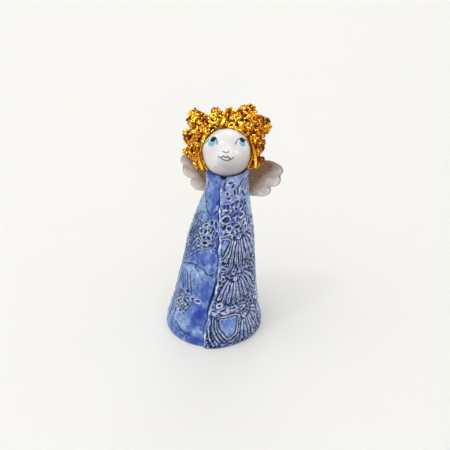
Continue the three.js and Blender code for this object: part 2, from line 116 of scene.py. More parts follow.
def form(name, spots, faces, finish):
    """A piece with smooth shading, from its spots and faces."""
    mesh = bpy.data.meshes.new(name)
    mesh.from_pydata(np.reshape(spots, (-1, 3)).tolist(), [], list(faces))
    mesh.shade_smooth()
    mesh.materials.append(finish)
    piece = bpy.data.objects.new(name, mesh)
    bpy.context.scene.collection.objects.link(piece)
    return piece


half = PAPER_SIZE / 2
paper_corners = ((-half, -half, 0), (half, -half, 0), (half, half, 0), (-half, half, 0))
paper_finish = new_finish("paper", {"Base Color": PAPER_WHITE, "Roughness": PAPER_ROUGHNESS})
paper = form("paper", paper_corners, [(0, 1, 2, 3)], paper_finish)

# The dress: one rolled slab of clay with lace pressed into it, wrapped into a leaning cone so that
# its right panel laps over the left one in front. It is dipped in a clear blue glaze that pools
# dark in the print, runs thin and pale on the raised threads, and stops short of the foot.
HEM_RADIUS = 39.3 * MM
HEM_ROUND = 1.3 * MM
SLAB = 4 * MM
LAP_STEP = 2.4 * MM  # the lapped edge stands this proud of the panel beneath it
LAP_SPREAD = math.radians(52)
LAP_ROUND = 2.2 * MM
LAP_GROOVE = 0.8 * MM
LAP_WANDER_SPREAD = math.radians(14)
NOTCH_DEPTH = 3.2 * MM
NOTCH_SPREAD = math.radians(15)
THREAD = 0.38 * MM  # half the width of a raised thread
THREAD_HEIGHT = 0.55 * MM
NET_THREAD = 0.42 * MM
PRINT_DEPTH = 0.8 * MM
CRUMB = 1.1 * MM  # the half width and the height of a crumb of clay that was fired on
CRUMB_PLACE = (268, 99.5)  # its turn in degrees and its level in mm
DRESS_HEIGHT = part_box("dress_slab")[1].z

# Share of the height, of HEM_RADIUS and of NECK_LEAN.
DRESS_SHARES = (
    (0, 1, 0),
    (0.065, 0.967, 0.04),
    (0.135, 0.905, 0.09),
    (0.275, 0.815, 0.26),
    (0.445, 0.733, 0.42),
    (0.577, 0.668, 0.56),
    (0.704, 0.565, 0.75),
    (0.83, 0.462, 0.93),
    (0.923, 0.418, 0.985),
    (1, 0.44, 1),
)
# Share of the height, and the lap's angle there, from the front towards +X, in degrees.
LAP_PATH_SHARES = (
    (0, -12),
    (0.15, -11.5),
    (0.26, -8),
    (0.38, -3),
    (0.55, -3.5),
    (0.68, -8),
    (0.79, -14.5),
    (0.88, -18),
    (1, -13),
)


def along(table, column, place):
    """The values in a column of a table at places along its first column, on a smooth curve."""
    table = np.array(table, float)
    keys = table[:, 0]
    values = table[:, column]
    slopes = np.gradient(values, keys)
    slopes[1:-1] = (values[2:] - values[:-2]) / (keys[2:] - keys[:-2])
    left = np.clip(np.searchsorted(keys, place) - 1, 0, len(keys) - 2)
    width = keys[left + 1] - keys[left]
    s = np.clip((place - keys[left]) / width, 0, 1)
    eased = s * s * (3 - 2 * s)
    leaving = slopes[left] * width * s * (1 - s) ** 2
    arriving = slopes[left + 1] * width * s * s * (1 - s)
    return values[left] * (1 - eased) + values[left + 1] * eased + leaving - arriving


def rise(value, start, end):
    """0 before start, 1 past end, and a smooth climb between."""
    s = np.clip((value - start) / (end - start), 0, 1)
    return s * s * (3 - 2 * s)


def near(distance, width):
    """1 at no distance, dying away over a width."""
    return np.exp(-((distance / width) ** 2))


# The slab's section, as rows from the hem up the outer face, over the rim and down the inner one.
# Each has its share of the height, its lift from there, how deep it is set in, and how much of the
# print and of the lap it shows.
OUTER_ROWS = 246
INNER_ROWS = 11
lip = SLAB / 2
section = []
for degrees in (-90, -60, -30):
    lean = math.radians(degrees)
    section.append((0, HEM_ROUND * (1 + math.sin(lean)), HEM_ROUND * (1 - math.cos(lean)), 0, 1))
for share in np.linspace(0, 1, OUTER_ROWS):
    section.append((share, HEM_ROUND * (1 - share) - lip * share, 0, 1, 1))
for degrees in (30, 60, 90, 120, 150):
    lean = math.radians(degrees)
    lap_share = (150 - degrees) / 150
    section.append((1, lip * (math.sin(lean) - 1), lip * (1 - math.cos(lean)), 0, lap_share))
for share in np.linspace(1, 0, INNER_ROWS):
    section.append((share, -lip * share, SLAB, 0, 0))
row_share, row_lift, row_inset, row_print, row_lap = np.array(section).T[:, :, None]

# Columns lie closer in front, and closest at the lap: where each stretch of them starts and ends,
# in degrees past the lap, and how many it has.
COLUMN_STRETCHES = (
    (0, 8, 14),
    (8, 105, 112),
    (105, 255, 120),
    (255, 352, 112),
    (352, 360, 14),
)
past = np.radians(np.concatenate([np.linspace(*stretch, endpoint=False) for stretch in COLUMN_STRETCHES]))
to_lap = np.minimum(past, 2 * math.pi - past)
top = DRESS_HEIGHT - NOTCH_DEPTH * (1 - rise(to_lap, 0, NOTCH_SPREAD))
LEVEL = row_share * top + row_lift
PLACE = np.clip(LEVEL / DRESS_HEIGHT, 0, 1)
GIRTH = HEM_RADIUS * along(DRESS_SHARES, 1, PLACE)
# The lapped edge wanders a little, as it was pressed down by hand.
wander = 0.6 * MM * np.sin(LEVEL / (3.1 * MM)) * np.sin(LEVEL / (17 * MM))
wander = wander + 0.2 * MM * np.sin(LEVEL / (1.7 * MM))
wander = wander * near(to_lap, LAP_WANDER_SPREAD) / GIRTH
TURN = np.radians(along(LAP_PATH_SHARES, 1, PLACE)) + wander + past
PAST = np.broadcast_to(past, TURN.shape)

# The slab laid flat again, for patterns that run on round the cone.
SHEET_FAN = 0.168  # the flat slab's fan angle as a share of the angle round the dress
SHEET_TOP = 231 * MM
SHEET_X = (SHEET_TOP - LEVEL) * np.sin(SHEET_FAN * (TURN - math.pi))
SHEET_Y = -(SHEET_TOP - LEVEL) * np.cos(SHEET_FAN * (TURN - math.pi))

WAVE_TRAINS = 9
WAVE_STARTS = 6.28  # radians: a wave may start anywhere in about one turn
CELL_NUDGE = 0.36  # how far a cell's middle may lie from its square's, as a share of the square
CELL_TABLE = 64  # the squares before the nudges repeat


def waves(x, y, size, seed):
    """Soft uneven waves from -1 to 1, about this long."""
    chance = np.random.default_rng(seed)
    total = 0
    for _ in range(WAVE_TRAINS):
        heading = chance.uniform(0, 2 * math.pi)
        pitch = 2 * math.pi / (size * chance.uniform(0.7, 1.6))
        start = chance.uniform(0, WAVE_STARTS)
        total = total + np.sin(pitch * (x * math.cos(heading) + y * math.sin(heading)) + start)
    return total * 2 / WAVE_TRAINS


def slab_waves(size, seed):
    """Waves over the flat slab, about this many mm long."""
    return waves(SHEET_X, SHEET_Y, size * MM, seed)


def cells(x, y, size, seed):
    """Distances to the nearest and the next nearest middle of uneven cells about this wide."""
    nudges = np.random.default_rng(seed).uniform(-CELL_NUDGE, CELL_NUDGE, (CELL_TABLE, CELL_TABLE, 2))
    column = np.floor(x / size).astype(int)
    row = np.floor(y / size).astype(int)
    nearest = np.full(x.shape, np.inf)
    following = np.full(x.shape, np.inf)
    for i in (-1, 0, 1):
        for j in (-1, 0, 1):
            nudge = nudges[(column + i) % CELL_TABLE, (row + j) % CELL_TABLE]
            to_x = (column + i + 0.5 + nudge[..., 0]) * size - x
            to_y = (row + j + 0.5 + nudge[..., 1]) * size - y
            distance = np.hypot(to_x, to_y)
            following = np.minimum(following, np.maximum(nearest, distance))
            nearest = np.minimum(nearest, distance)
    return nearest, following


# The soft clay has drawn the lace a little out of true, and its patches have uneven edges.
DRAWN_X = 0.5 * MM * slab_waves(8, 51) + 0.16 * MM * slab_waves(3, 52)
DRAWN_Y = 0.5 * MM * slab_waves(8, 53) + 0.16 * MM * slab_waves(3, 54)
UNEVEN = slab_waves(8, 41)

thread = np.zeros(TURN.shape)  # raised threads of the print
# The pit layer also carries the painted shade in the groove beside the lap.
pit_and_groove_shade = np.zeros(TURN.shape)  # deep hollows between them
# The pool layer also carries the painted shade beside the lap.
pool_and_lap_shade = np.zeros(TURN.shape)  # where glaze has gathered, cobalt
# The thin layer also carries painted light at the right panel's right edge.
thin_and_edge_light = np.zeros(TURN.shape)  # where it ran thin and pale


def offsets(turn, level):
    """How far the dress's spots lie across from and above a place, given in degrees and mm."""
    return (TURN - math.radians(turn)) * GIRTH + DRAWN_X, LEVEL - level * MM + DRAWN_Y


def lay(layer, amount):
    """Raises a layer to an amount wherever it was less."""
    np.maximum(layer, amount, out=layer)


def clear(amount):
    """Wipes the print smooth by an amount."""
    np.multiply(thread, 1 - amount, out=thread)
    np.multiply(pit_and_groove_shade, 1 - amount, out=pit_and_groove_shade)


def patch(turn, level, wide, tall, soft=0.2):
    """1 inside an uneven oval, 0 well outside it. Its half width and half height are in mm."""
    across, up = offsets(turn, level)
    reach = np.hypot(across / (wide * MM), up / (tall * MM)) * (1 + soft * UNEVEN)
    return 1 - rise(reach, 1 - 2 * soft, 1 + soft)


def press_net(area, size, seed, strength):
    """A net of small uneven holes over an area, about this many mm wide."""
    nearest, following = cells(SHEET_X, SHEET_Y, size * MM, seed)
    gap = following - nearest
    lay(thread, area * strength * near(gap, NET_THREAD))
    lay(pit_and_groove_shade, area * strength * rise(gap, 0.3 * MM, 0.65 * MM))


def press_hole(turn, level, wide, tall, tilt, depth=1.0):
    """An oval hole with a soft raised rim: half its width and height in mm, and its tilt in degrees."""
    across, up = offsets(turn, level)
    lean = math.radians(tilt)
    u = (across * math.cos(lean) + up * math.sin(lean)) / (wide * MM)
    v = (up * math.cos(lean) - across * math.sin(lean)) / (tall * MM)
    edge = (np.hypot(u, v) - 1) * min(wide, tall) * MM
    clear(1 - rise(edge, 0.4 * MM, 1.2 * MM))
    lay(pit_and_groove_shade, depth * (1 - rise(edge, -0.3 * MM, 0.3 * MM)))
    lay(thread, 0.9 * near(edge - 0.6 * MM, THREAD))


def press_ring(turn, level, radius):
    """A round eyelet with a bright rim and a thread across it."""
    across, up = offsets(turn, level)
    edge = np.hypot(across, up) - radius * MM
    clear(1 - rise(edge, 0.6 * MM, 1.5 * MM))
    lay(thread, near(edge, THREAD * 1.7))
    lay(pit_and_groove_shade, (1 - rise(edge, -1.0 * MM, -0.5 * MM)) * (1 - 0.6 * near(across - up, 0.5 * MM)))
    lay(pit_and_groove_shade, 0.85 * near(edge - 0.95 * MM, 0.4 * MM))


LINE_STEPS = 6


def smooth_line(points):
    """Points of a table, joined by a smooth line with LINE_STEPS steps from each to the next."""
    points = np.array(points, float)
    ends = np.vstack([2 * points[0] - points[1], points, 2 * points[-1] - points[-2]])
    line = []
    for i in range(1, len(ends) - 2):
        for s in np.arange(LINE_STEPS) / LINE_STEPS:
            a, b, c, d = ends[i - 1 : i + 3]
            bow = (2 * a - 5 * b + 4 * c - d) * s * s + (3 * b - a - 3 * c + d) * s**3
            line.append((2 * b + (c - a) * s + bow) / 2)
    line.append(points[-1])
    return line


def path_edge(points):
    """Distances to a smooth line through points in degrees and mm."""
    line = smooth_line(points)
    distance = np.full(TURN.shape, np.inf)
    for start, end in zip(line, line[1:]):
        across, up = offsets(*start)
        run = math.radians(end[0] - start[0]) * GIRTH
        climb = (end[1] - start[1]) * MM
        s = np.clip((across * run + up * climb) / (run * run + climb * climb), 0, 1)
        distance = np.minimum(distance, np.hypot(across - s * run, up - s * climb))
    return distance


def press_cord(points, strength=1.0, width=1.0, shade=0.95):
    """A raised cord of lace with a dark line along each side."""
    distance = path_edge(points)
    clear(near(distance, 1.5 * MM * width) * strength)
    lay(thread, strength * near(distance, THREAD * width))
    lay(pit_and_groove_shade, strength * shade * near(distance - (0.7 * MM + THREAD * width), 0.6 * MM))


def press_cut(points, width=1.0):
    """A dark line with a faint raised one on each side."""
    distance = path_edge(points)
    clear(near(distance, 0.9 * MM * width))
    lay(pit_and_groove_shade, near(distance, 0.5 * MM * width))
    lay(thread, 0.5 * near(distance - 1.1 * MM * width, 0.35 * MM))


FAN_ABOVE = 6.0  # a fan's petals point away from a place that lies this many mm above its boss
FAN_BOW = 0.3  # how far the petals bow down at their ends
FAN_BOSS = 1.9 * MM
PETAL_START = 3.4  # mm from the boss
PETAL_TIP_SHARE = 0.26  # half a petal's width at its tip, of the room that it has there
PETAL_ROOT_SHARE = 0.25  # of the petal's width at its tip
PETAL_LENGTH_SHARES = (0.9, 1, 0.94, 0.98, 0.88, 1, 0.96)


def press_fan(turn, level, reach, spread, petals):
    """Long round-ended petals that hang from a boss, dark between them, bowed down at their ends.
    The spread is in degrees from straight down towards +X, and the reach, from the boss, in mm."""
    across, up = offsets(turn, level + FAN_ABOVE)
    boss = np.hypot(across, up + FAN_ABOVE * MM) - FAN_BOSS
    reach = (reach + FAN_ABOVE) * MM
    start = (PETAL_START + FAN_ABOVE) * MM
    distance = np.hypot(across, up)
    way = np.arctan2(across, -up) / (1 + FAN_BOW - 1.5 * FAN_BOW * distance / reach)
    first, last = np.radians(spread)
    step = (last - first) / petals
    nearest = np.full(distance.shape, np.inf)
    for petal in range(petals):
        tilt = first + (petal + 0.5) * step
        length = reach * PETAL_LENGTH_SHARES[petal % len(PETAL_LENGTH_SHARES)]
        tip = length * step * PETAL_TIP_SHARE
        forward = distance * np.cos(way - tilt)
        aside = distance * np.sin(way - tilt)
        widening = np.clip((forward - start) / (length - start), 0, 1)
        side_edge = np.abs(aside) - tip * (PETAL_ROOT_SHARE + (1 - PETAL_ROOT_SHARE) * widening)
        tip_edge = np.hypot(forward - length + tip, aside) - tip
        edge = np.where(forward < length - tip, side_edge, tip_edge)
        nearest = np.minimum(nearest, np.maximum(edge, start - forward))
    clear(1 - rise(nearest, 0.9 * MM, 1.5 * MM))
    clear(1 - rise(boss, 0.5 * MM, 1.2 * MM))
    lay(pit_and_groove_shade, rise(nearest, 0, 0.3 * MM) * (1 - rise(nearest, 1.1 * MM, 1.6 * MM)) * rise(boss, 0, 0.4 * MM))
    lay(pit_and_groove_shade, 0.9 * (1 - rise(nearest, -1.0 * MM, -0.6 * MM)))
    lay(thread, near(nearest + 0.25 * MM, 0.3 * MM))
    lay(thread, near(boss + 0.5 * MM, 0.8 * MM))
    lay(pit_and_groove_shade, near(boss - 0.5 * MM, 0.4 * MM))


def turned(points, shift):
    """Points moved round the dress by this many degrees."""
    return [(turn + shift, level) for turn, level in points]


def press_shield(points, oval, shift=0):
    """A smooth three-cornered cell between two cords, and the place and size of an oval in it."""
    turn, level, wide, tall = oval
    points = turned(points, shift)
    clear(patch(turn + shift, level, wide, tall, 0.08))
    press_cord(points, width=1.1)
    inside = patch(turn + shift, level, wide - 1, tall - 1, 0.08)
    lay(thread, 0.8 * near(path_edge(points) - 1.9 * MM, 0.35 * MM) * (1 - inside))


# The holes among the threads of one repeat: place, half width, half height and tilt.
BUBBLES = (
    (3.3, 118.2, 2.2, 2.0, 0),
    (-5.2, 118.1, 1.0, 1.5, 0),
    (15.7, 119.4, 1.6, 1.2, 20),
    (26.3, 120.5, 1.5, 1.6, -40),
    (23.7, 115.1, 1.3, 1.5, 30),
    (37.6, 116.3, 1.1, 1.3, 20),
    (44, 113.4, 1.5, 0.9, -20),
    (62, 110.7, 0.8, 2.0, 10),
    (2.4, 113.9, 1.8, 0.9, 10),
    (26.9, 106.6, 0.9, 1.3, 20),
    (34.3, 104.5, 0.9, 1.2, 0),
    (43.6, 102.7, 0.8, 1.6, -15),
    (53.4, 103.8, 0.9, 1.9, -35),
    (60.3, 106.8, 1.3, 1.2, 0),
    (27.2, 101.0, 2.0, 1.8, 0),
    (-0.1, 101.9, 1.6, 1.4, 0),
    (10.2, 100.9, 1.7, 1.4, 10),
    (47.4, 98.5, 0.7, 2.0, 0),
    (-1.9, 98.0, 1.2, 0.8, 10),
    (5.1, 97.4, 1.4, 0.8, 0),
    (16.0, 97.1, 1.3, 0.9, 0),
    (1.0, 94.8, 1.5, 0.8, -10),
    (11.5, 94.6, 1.4, 1.0, 0),
    (55.4, 93.7, 2.3, 0.7, 5),
    (4.5, 73.7, 1.4, 1.8, 0),
    (16.3, 70.8, 1.5, 1.9, 0),
    (6.1, 68.6, 1.9, 0.8, -10),
    (36.5, 63.6, 1.2, 0.8, 20),
    (5.6, 60.1, 1.0, 1.4, 0),
    (9.9, 54.8, 0.8, 0.9, 0),
    (-2.8, 39.6, 1.5, 1.1, -20),
    (-2.9, 32.6, 1.7, 0.9, -10),
    (10.8, 32.4, 2.6, 0.8, 0),
    (22.3, 32.4, 2.8, 0.9, 3),
    (34.8, 30.8, 2.4, 0.9, 8),
    (4.3, 29.4, 2.2, 0.6, 0),
    (22.5, 28.9, 2.6, 0.6, 3),
)
# The rounded, three-cornered border of a smooth cell, the oval in it, and the ribs beside it.
LEAF = (
    (34, 24.5),
    (26, 26.4),
    (14, 26.8),
    (3.5, 26.2),
    (3.5, 20),
    (8.5, 13),
    (14, 8.5),
    (19.5, 7.2),
    (25, 9.5),
    (29.5, 15),
    (34, 24.5),
)
LEAF_OVAL = (18.5, 18.5, 9.2, 8.6)
LEAF_RIBS = (
    ((-3, 27), (-3.5, 20), (2, 10), (9, 3.5)),
    ((-6.5, 26), (-7, 16), (-4, 7), (0, 2.5)),
    ((0.5, 25), (0.8, 19), (6, 10.5), (13, 5)),
    ((8, 3.2), (16, 3.2), (25, 5), (30.5, 9)),
)
# The smooth cell between the lap and the first fan, in the same way.
UPPER_CELL = (
    (15, 91.5),
    (7, 93),
    (-1.5, 93),
    (-2.5, 87),
    (-1, 81.5),
    (3.5, 78),
    (8, 82),
    (12, 86.5),
    (15, 91.5),
)
UPPER_OVAL = (6, 87, 3.6, 6.6)
# The boss of each fan, its reach, its spread and its number of petals.
FANS = (
    (32, 92.6, 24, (-33, 50), 8),
    (25.6, 58.6, 22.5, (-40, 66), 10),
    (41.6, 22.8, 21, (-38, 72), 10),
)
# The middle and the radius of each ring.
RINGS = ((2, 108.1, 3.2), (37.2, 109.5, 2.5), (22.8, 64.8, 2.0), (3.2, 36.8, 2.1))
REPEAT_TURNS = (0, 72, 146, 215)


def press_repeat(shift):
    """One repeat of the lace: bubbles at the top and between three fans, rings, and a shield."""
    for turn, *rest in BUBBLES:
        press_hole(turn + shift, *rest)
    for turn, *rest in FANS:
        press_fan(turn + shift, *rest)
    for turn, *rest in RINGS:
        press_ring(turn + shift, *rest)
    press_shield(LEAF, LEAF_OVAL, shift)
    for line in LEAF_RIBS:
        press_cord(turned(line, shift), 0.95)


# The net runs up to the collar, the repeats lie on it, and the print is worn at the right side.
press_net(1 - rise(LEVEL, 118 * MM, 123 * MM), 3.3, 11, 0.85)
for shift in REPEAT_TURNS:
    press_repeat(shift)
press_shield(UPPER_CELL, UPPER_OVAL)
clear(0.85 * patch(81, 114, 9, 15))
clear(0.6 * patch(86, 52, 8, 12))

# Dabs and slanting strokes at the collar of the right panel.
COLLAR_DABS = (
    (8, 138, 1.7, 0.9, 15),
    (15.2, 134.4, 1.7, 0.8, 50),
    (1.2, 128.3, 0.9, 1.2, 0),
    (4.1, 124.2, 1.3, 1.0, 0),
    (30, 128.4, 0.8, 2.4, 0),
)
COLLAR_STROKES = (
    ((-13, 140), (-5, 138), (-9, 134.5), (-7, 131.5)),
    ((27, 131), (37, 135), (46, 138)),
    ((41, 131), (54, 135), (65, 137.5)),
    ((55, 129), (66, 133), (80, 136)),
    ((72, 126), (80, 131), (88, 138)),
    ((19, 130.5), (21, 127)),
    ((45, 128), (51, 123.5)),
)
for dab_place in COLLAR_DABS:
    press_hole(*dab_place, depth=0.85)
for line in COLLAR_STROKES:
    press_cut(line, 1.35)

# The left panel is printed only in patches, and folded softly at its side. It begins between two
# turns, in degrees.
LEFT_START = 261
LEFT_END = 273
left = rise(np.degrees(TURN) + 9 * UNEVEN, LEFT_START, LEFT_END)
clear(left)
left_net = patch(322, 94, 10, 12) + patch(299, 31, 12, 10) + patch(284, 88, 8, 20)
press_net(np.clip(left_net, 0, 1), 2.9, 71, 0.9)
LEFT_HOLES = (
    (-52, 99.8, 0.8, 2.0, 20),
    (-39, 100.8, 1.7, 0.9, 25),
    (-27, 103.8, 1.5, 1.5, 20),
    (-46, 95.4, 1.2, 1.4, 0),
    (-35.4, 96.0, 1.3, 1.8, 0),
    (-36.4, 91.3, 1.3, 0.9, 0),
    (-26, 92.0, 1.9, 1.2, -25),
    (-45.5, 87.7, 1.5, 0.8, 0),
    (-31.5, 87.3, 2.4, 1.2, 10),
    (-20.8, 86.0, 1.8, 1.0, 0),
    (-37, 82.5, 1.8, 0.7, 0),
    (-14.5, 87.3, 1.0, 1.0, 0),
    (-14.5, 82.5, 0.9, 1.0, 0),
    (-16, 103, 0.9, 2.2, 10),
    (-12.5, 96, 0.8, 2.0, -5),
    (-49.6, 41.9, 1.9, 0.8, 0),
    (-58, 35.1, 1.3, 0.9, 0),
    (-44.9, 36.6, 1.8, 1.0, 0),
    (-37.1, 38.2, 1.7, 1.0, 0),
    (-28.4, 37.6, 1.7, 0.8, 0),
    (-49.2, 29.2, 1.9, 0.8, -10),
    (-59.5, 26.4, 1.2, 1.2, 0),
    (-54.6, 23.4, 1.6, 0.8, 10),
    (-65.4, 22.5, 1.3, 1.3, 0),
)
for turn, *rest in LEFT_HOLES:
    press_hole(turn + 360, *rest)
press_ring(301.5, 32.2, 1.9)
# Raised folds and cords: how dark the lines beside each are, and its points.
LEFT_CORDS = (
    (0.8, ((285, 63), (293, 68.5), (306, 75), (320, 81), (331, 83), (343, 85))),
    (0.15, ((290, 24), (300, 18), (311, 17), (322, 16.5), (331, 14))),
    (0.15, ((280.5, 12.2), (302, 14.1), (318.8, 13.2), (330, 11.6))),
    (0.1, ((308, 137), (316, 132.5), (323, 132), (331, 135))),
)
for shade, line in LEFT_CORDS:
    press_cord(line, 0.7, 0.8, shade)
# Slanting strokes of two half printed fans, low at the side and above the fold.
for turn in (281, 288, 295, 302, 309):
    press_cut(((turn, 57), (turn + 6, 49.5), (turn + 11, 42)), 1.1)
for turn, level in ((299, 101), (302, 97), (304, 93), (306, 89), (308, 85)):
    press_cut(((turn, level), (turn - 7, level - 5), (turn - 12, level - 13)), 1.1)
LEFT_CUTS = (
    ((281, 59.5), (305, 65.9), (319.5, 66.4), (333.4, 65.2), (344.5, 61.2), (350.4, 63.3)),
    ((316, 64.8), (324.5, 63)),
    ((286, 127.4), (291, 121.4), (304.6, 115.8), (315.4, 110.7)),
    ((320.2, 110.5), (331.5, 110), (339.3, 112.9)),
    ((300, 12), (316, 8.5), (330, 7.5)),
    ((300, 106), (303, 100), (306, 97)),
    ((305, 135.5), (298, 128.5), (296, 121.5), (303, 117), (316, 111.5), (327, 108.5)),
    ((282, 104), (280, 94), (283, 84)),
    ((286, 60), (283, 50), (281, 40)),
    ((281, 36), (279, 28), (281, 18)),
    ((287, 26), (284, 15), (286, 6)),
    ((295, 21), (292, 12), (296, 6)),
)
for line in LEFT_CUTS:
    press_cut(line)

GLAZE_SPREAD = 1.2
# Glaze gathers along the lap, in the hollows of the bubbles and in soft runs down the left panel, and
# the long narrow pool at turn 348, level 90, is painted shade beside the lapped edge: each pool's
# place, half width, half height and amount.
POOLS_AND_LAP_SHADE = (
    (17, 109.5, 3.6, 6.0, 1),
    (345, 113, 2.6, 7, 1),
    (340, 120, 2.4, 4, 1),
    (327, 125, 4, 10, 0.6),
    (328, 112, 4, 7, 0.7),
    (338, 27, 6.5, 11, 1),
    (332, 21, 6, 7, 0.9),
    (337, 5, 8, 6, 0.9),
    (320, 74, 12, 8, 0.55),
    (342, 47, 6, 12, 0.55),
    (300, 6, 9, 5, 0.6),
    (325, 52, 7, 7, 0.4),
    (28, 44, 10, 8, 0.3),
    (348, 90, 2.6, 24, 0.9),
    (338, 48, 5, 8, 0.8),
    (335, 72, 5, 5, 0.5),
    (12, 117, 5, 4, 1),
    (30, 117, 5, 4, 1),
    (26, 111, 4, 6, 1),
    (40, 110, 5, 5, 0.7),
    (12, 66, 4, 4, 0.7),
    (45, 60, 7, 5, 0.4),
    (40, 92, 6, 5, 0.4),
    (4, 33, 4, 4, 0.5),
)
# Where the glaze ran thin, in the same way; at the right panel's right edge, turns 74 to 84, they
# are also paler where the light grazes it, as painted light.
THIN_AND_EDGE_LIGHT_PATCHES = (
    (317, 56, 9, 9, 1),
    (302, 58, 6, 8, 0.7),
    (320, 15, 12, 5, 0.9),
    (336, 12, 5, 4, 0.8),
    (292, 107, 6, 12, 0.8),
    (315, 126, 5, 8, 0.6),
    (296, 85, 5, 9, 0.5),
    (334, 92, 5, 6, 0.4),
    (82, 112, 9, 10, 0.9),
    (84, 50, 10, 16, 0.6),
    (74, 76, 8, 8, 0.5),
    (8, 85, 3, 5, 0.7),
    (22, 14, 7, 6, 0.5),
    (14, 133, 5, 6, 0.5),
    (52, 124, 6, 7, 0.8),
    (74, 119, 8, 12, 1),
    (78, 135, 7, 7, 0.8),
)


def spill(layer, table, soft):
    """Glaze that ran a little past each patch of a table."""
    for turn, level, wide, tall, amount in table:
        lay(layer, amount * patch(turn, level, wide * GLAZE_SPREAD, tall * GLAZE_SPREAD, soft))


spill(pool_and_lap_shade, POOLS_AND_LAP_SHADE, 0.45)
spill(thin_and_edge_light, THIN_AND_EDGE_LIGHT_PATCHES, 0.5)
lay(pool_and_lap_shade, np.clip(0.8 * slab_waves(22, 5) - 0.15, 0, 0.55) * (0.3 + 0.7 * left))

# The groove beside the lap is widest low down and dark in three stretches: glaze pooled there, and
# the lapped edge's shade is painted into it. The lapped edge is pale where the glaze broke, with a
# painted highlight along it. Each stretch has its level, its reach up and down, in mm, and its amount.
POOLED_AND_SHADED_STRETCHES = ((40, 18, 1), (84, 16, 0.5), (114, 12, 1))
edge_side = np.where(PAST < math.pi, PAST, PAST - 2 * math.pi) * GIRTH
widening = 0.8 + 1.3 * near(LEVEL - 44 * MM, 15 * MM) + 0.3 * waves(0 * LEVEL, LEVEL, 12 * MM, 8)
groove_width = LAP_GROOVE * widening
in_groove = (1 - rise(-edge_side, 0.7 * groove_width, 1.7 * groove_width)) * (edge_side < 0)
groove_pool_and_shade = 0.15
for level, reach, amount in POOLED_AND_SHADED_STRETCHES:
    groove_pool_and_shade = groove_pool_and_shade + amount * near(LEVEL - level * MM, reach * MM)
groove_pool_and_shade = np.clip(groove_pool_and_shade, 0, 1)
lay(pit_and_groove_shade, in_groove * groove_pool_and_shade)
clear(near(edge_side, 1.9 * MM) * (edge_side >= 0))
broken_edge_and_highlight = np.clip(0.6 + 0.6 * waves(0 * LEVEL, LEVEL, 9 * MM, 9), 0, 1)
lay(thread, near(edge_side - 0.9 * MM, 1.0 * MM) * broken_edge_and_highlight)

# The lace took unevenly: its threads are worn and broken here and there.
taken = 0.8 + 0.3 * slab_waves(5, 61) + 0.25 * slab_waves(2.2, 62)
thread = rise(thread * np.clip(taken, 0.35, 1.15), 0.25, 0.9)
lace = thread * THREAD_HEIGHT - pit_and_groove_shade * (1 - 0.8 * thread) * PRINT_DEPTH
lace = lace * rise(LEVEL, 0.2 * MM, 1.4 * MM)
dents = 0.45 * MM * slab_waves(26, 3) + 0.2 * MM * slab_waves(6, 4)
dents = dents + CRUMB * near(np.hypot(*offsets(*CRUMB_PLACE)), CRUMB)
lap_climb = np.clip(edge_side / LAP_ROUND, 0, 1)
lap_shape = np.where(edge_side >= 0, np.sqrt(1 - (1 - lap_climb) ** 2), 0)
lap = LAP_STEP * (1 - rise(PAST, 0, LAP_SPREAD)) * lap_shape
groove = LAP_GROOVE * in_groove * (0.2 + 0.8 * groove_pool_and_shade)
radius = GIRTH + row_lap * (lap - groove) + row_print * (lace + dents) - row_inset
dress_x = FOOT.x + NECK_LEAN * along(DRESS_SHARES, 2, PLACE) + radius * np.sin(TURN)
dress_y = FOOT.y - radius * np.cos(TURN)


def grid_faces(rows, columns, closed_rows=False):
    """Four-cornered faces over a grid of spots. Each row closes on itself, and the rows may too."""
    index = np.arange(rows * columns).reshape(rows, columns)
    if closed_rows:
        index = np.vstack([index, index[:1]])
    index = np.hstack([index, index[:, :1]])
    corners = (index[:-1, :-1], index[:-1, 1:], index[1:, 1:], index[1:, :-1])
    return np.stack([corner.ravel() for corner in corners], axis=1)


def mark(piece, name, amounts):
    """Writes an amount on each of a piece's spots, for its finish to read."""
    layer = piece.data.attributes.new(name, "FLOAT", "POINT")
    layer.data.foreach_set("value", np.ascontiguousarray(amounts, np.float32).ravel())


def seat(piece, node):
    """Shows a piece in place of a node, on the figurine's one body."""
    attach(piece, "root")
    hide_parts(node)


def add(finish, kind, settings=None, inputs=None):
    """A new node in a finish. An input is a value or another node's output."""
    node = finish.node_tree.nodes.new(kind)
    for key, value in (settings or {}).items():
        setattr(node, key, value)
    for key, value in (inputs or {}).items():
        if isinstance(value, bpy.types.NodeSocket):
            finish.node_tree.links.new(value, node.inputs[key])
        else:
            node.inputs[key].default_value = value
    return node


def times(finish, a, b):
    return add(finish, "ShaderNodeMath", {"operation": "MULTIPLY"}, {0: a, 1: b}).outputs[0]


def marked(finish, name, factor=None):
    """The amounts of this name that were marked on the piece, times a factor if there is one."""
    amounts = add(finish, "ShaderNodeAttribute", {"attribute_name": name}).outputs["Fac"]
    return amounts if factor is None else times(finish, amounts, factor)


def mottle(finish, size, detail=3.0, roughness=0.55, stretch=1.0, swirl=0.0):
    """Cloudy noise of this size, fixed in the clay, drawn out upwards by a stretch and swirled."""
    place = add(finish, "ShaderNodeTexCoord").outputs["Object"]
    if stretch != 1.0:
        settings = {"Vector": place, "Scale": (1, 1, 1 / stretch)}
        place = add(finish, "ShaderNodeMapping", None, settings).outputs["Vector"]
    inputs = {
        "Vector": place,
        "Scale": 1 / size,
        "Detail": detail,
        "Roughness": roughness,
        "Distortion": swirl,
    }
    return add(finish, "ShaderNodeTexNoise", None, inputs).outputs["Fac"]


def spread_out(finish, value, low, high, to_low=0.0, to_high=1.0):
    """Stretches the values from low to high over a new range."""
    inputs = {"Value": value, "From Min": low, "From Max": high, "To Min": to_low, "To Max": to_high}
    return add(finish, "ShaderNodeMapRange", None, inputs).outputs["Result"]


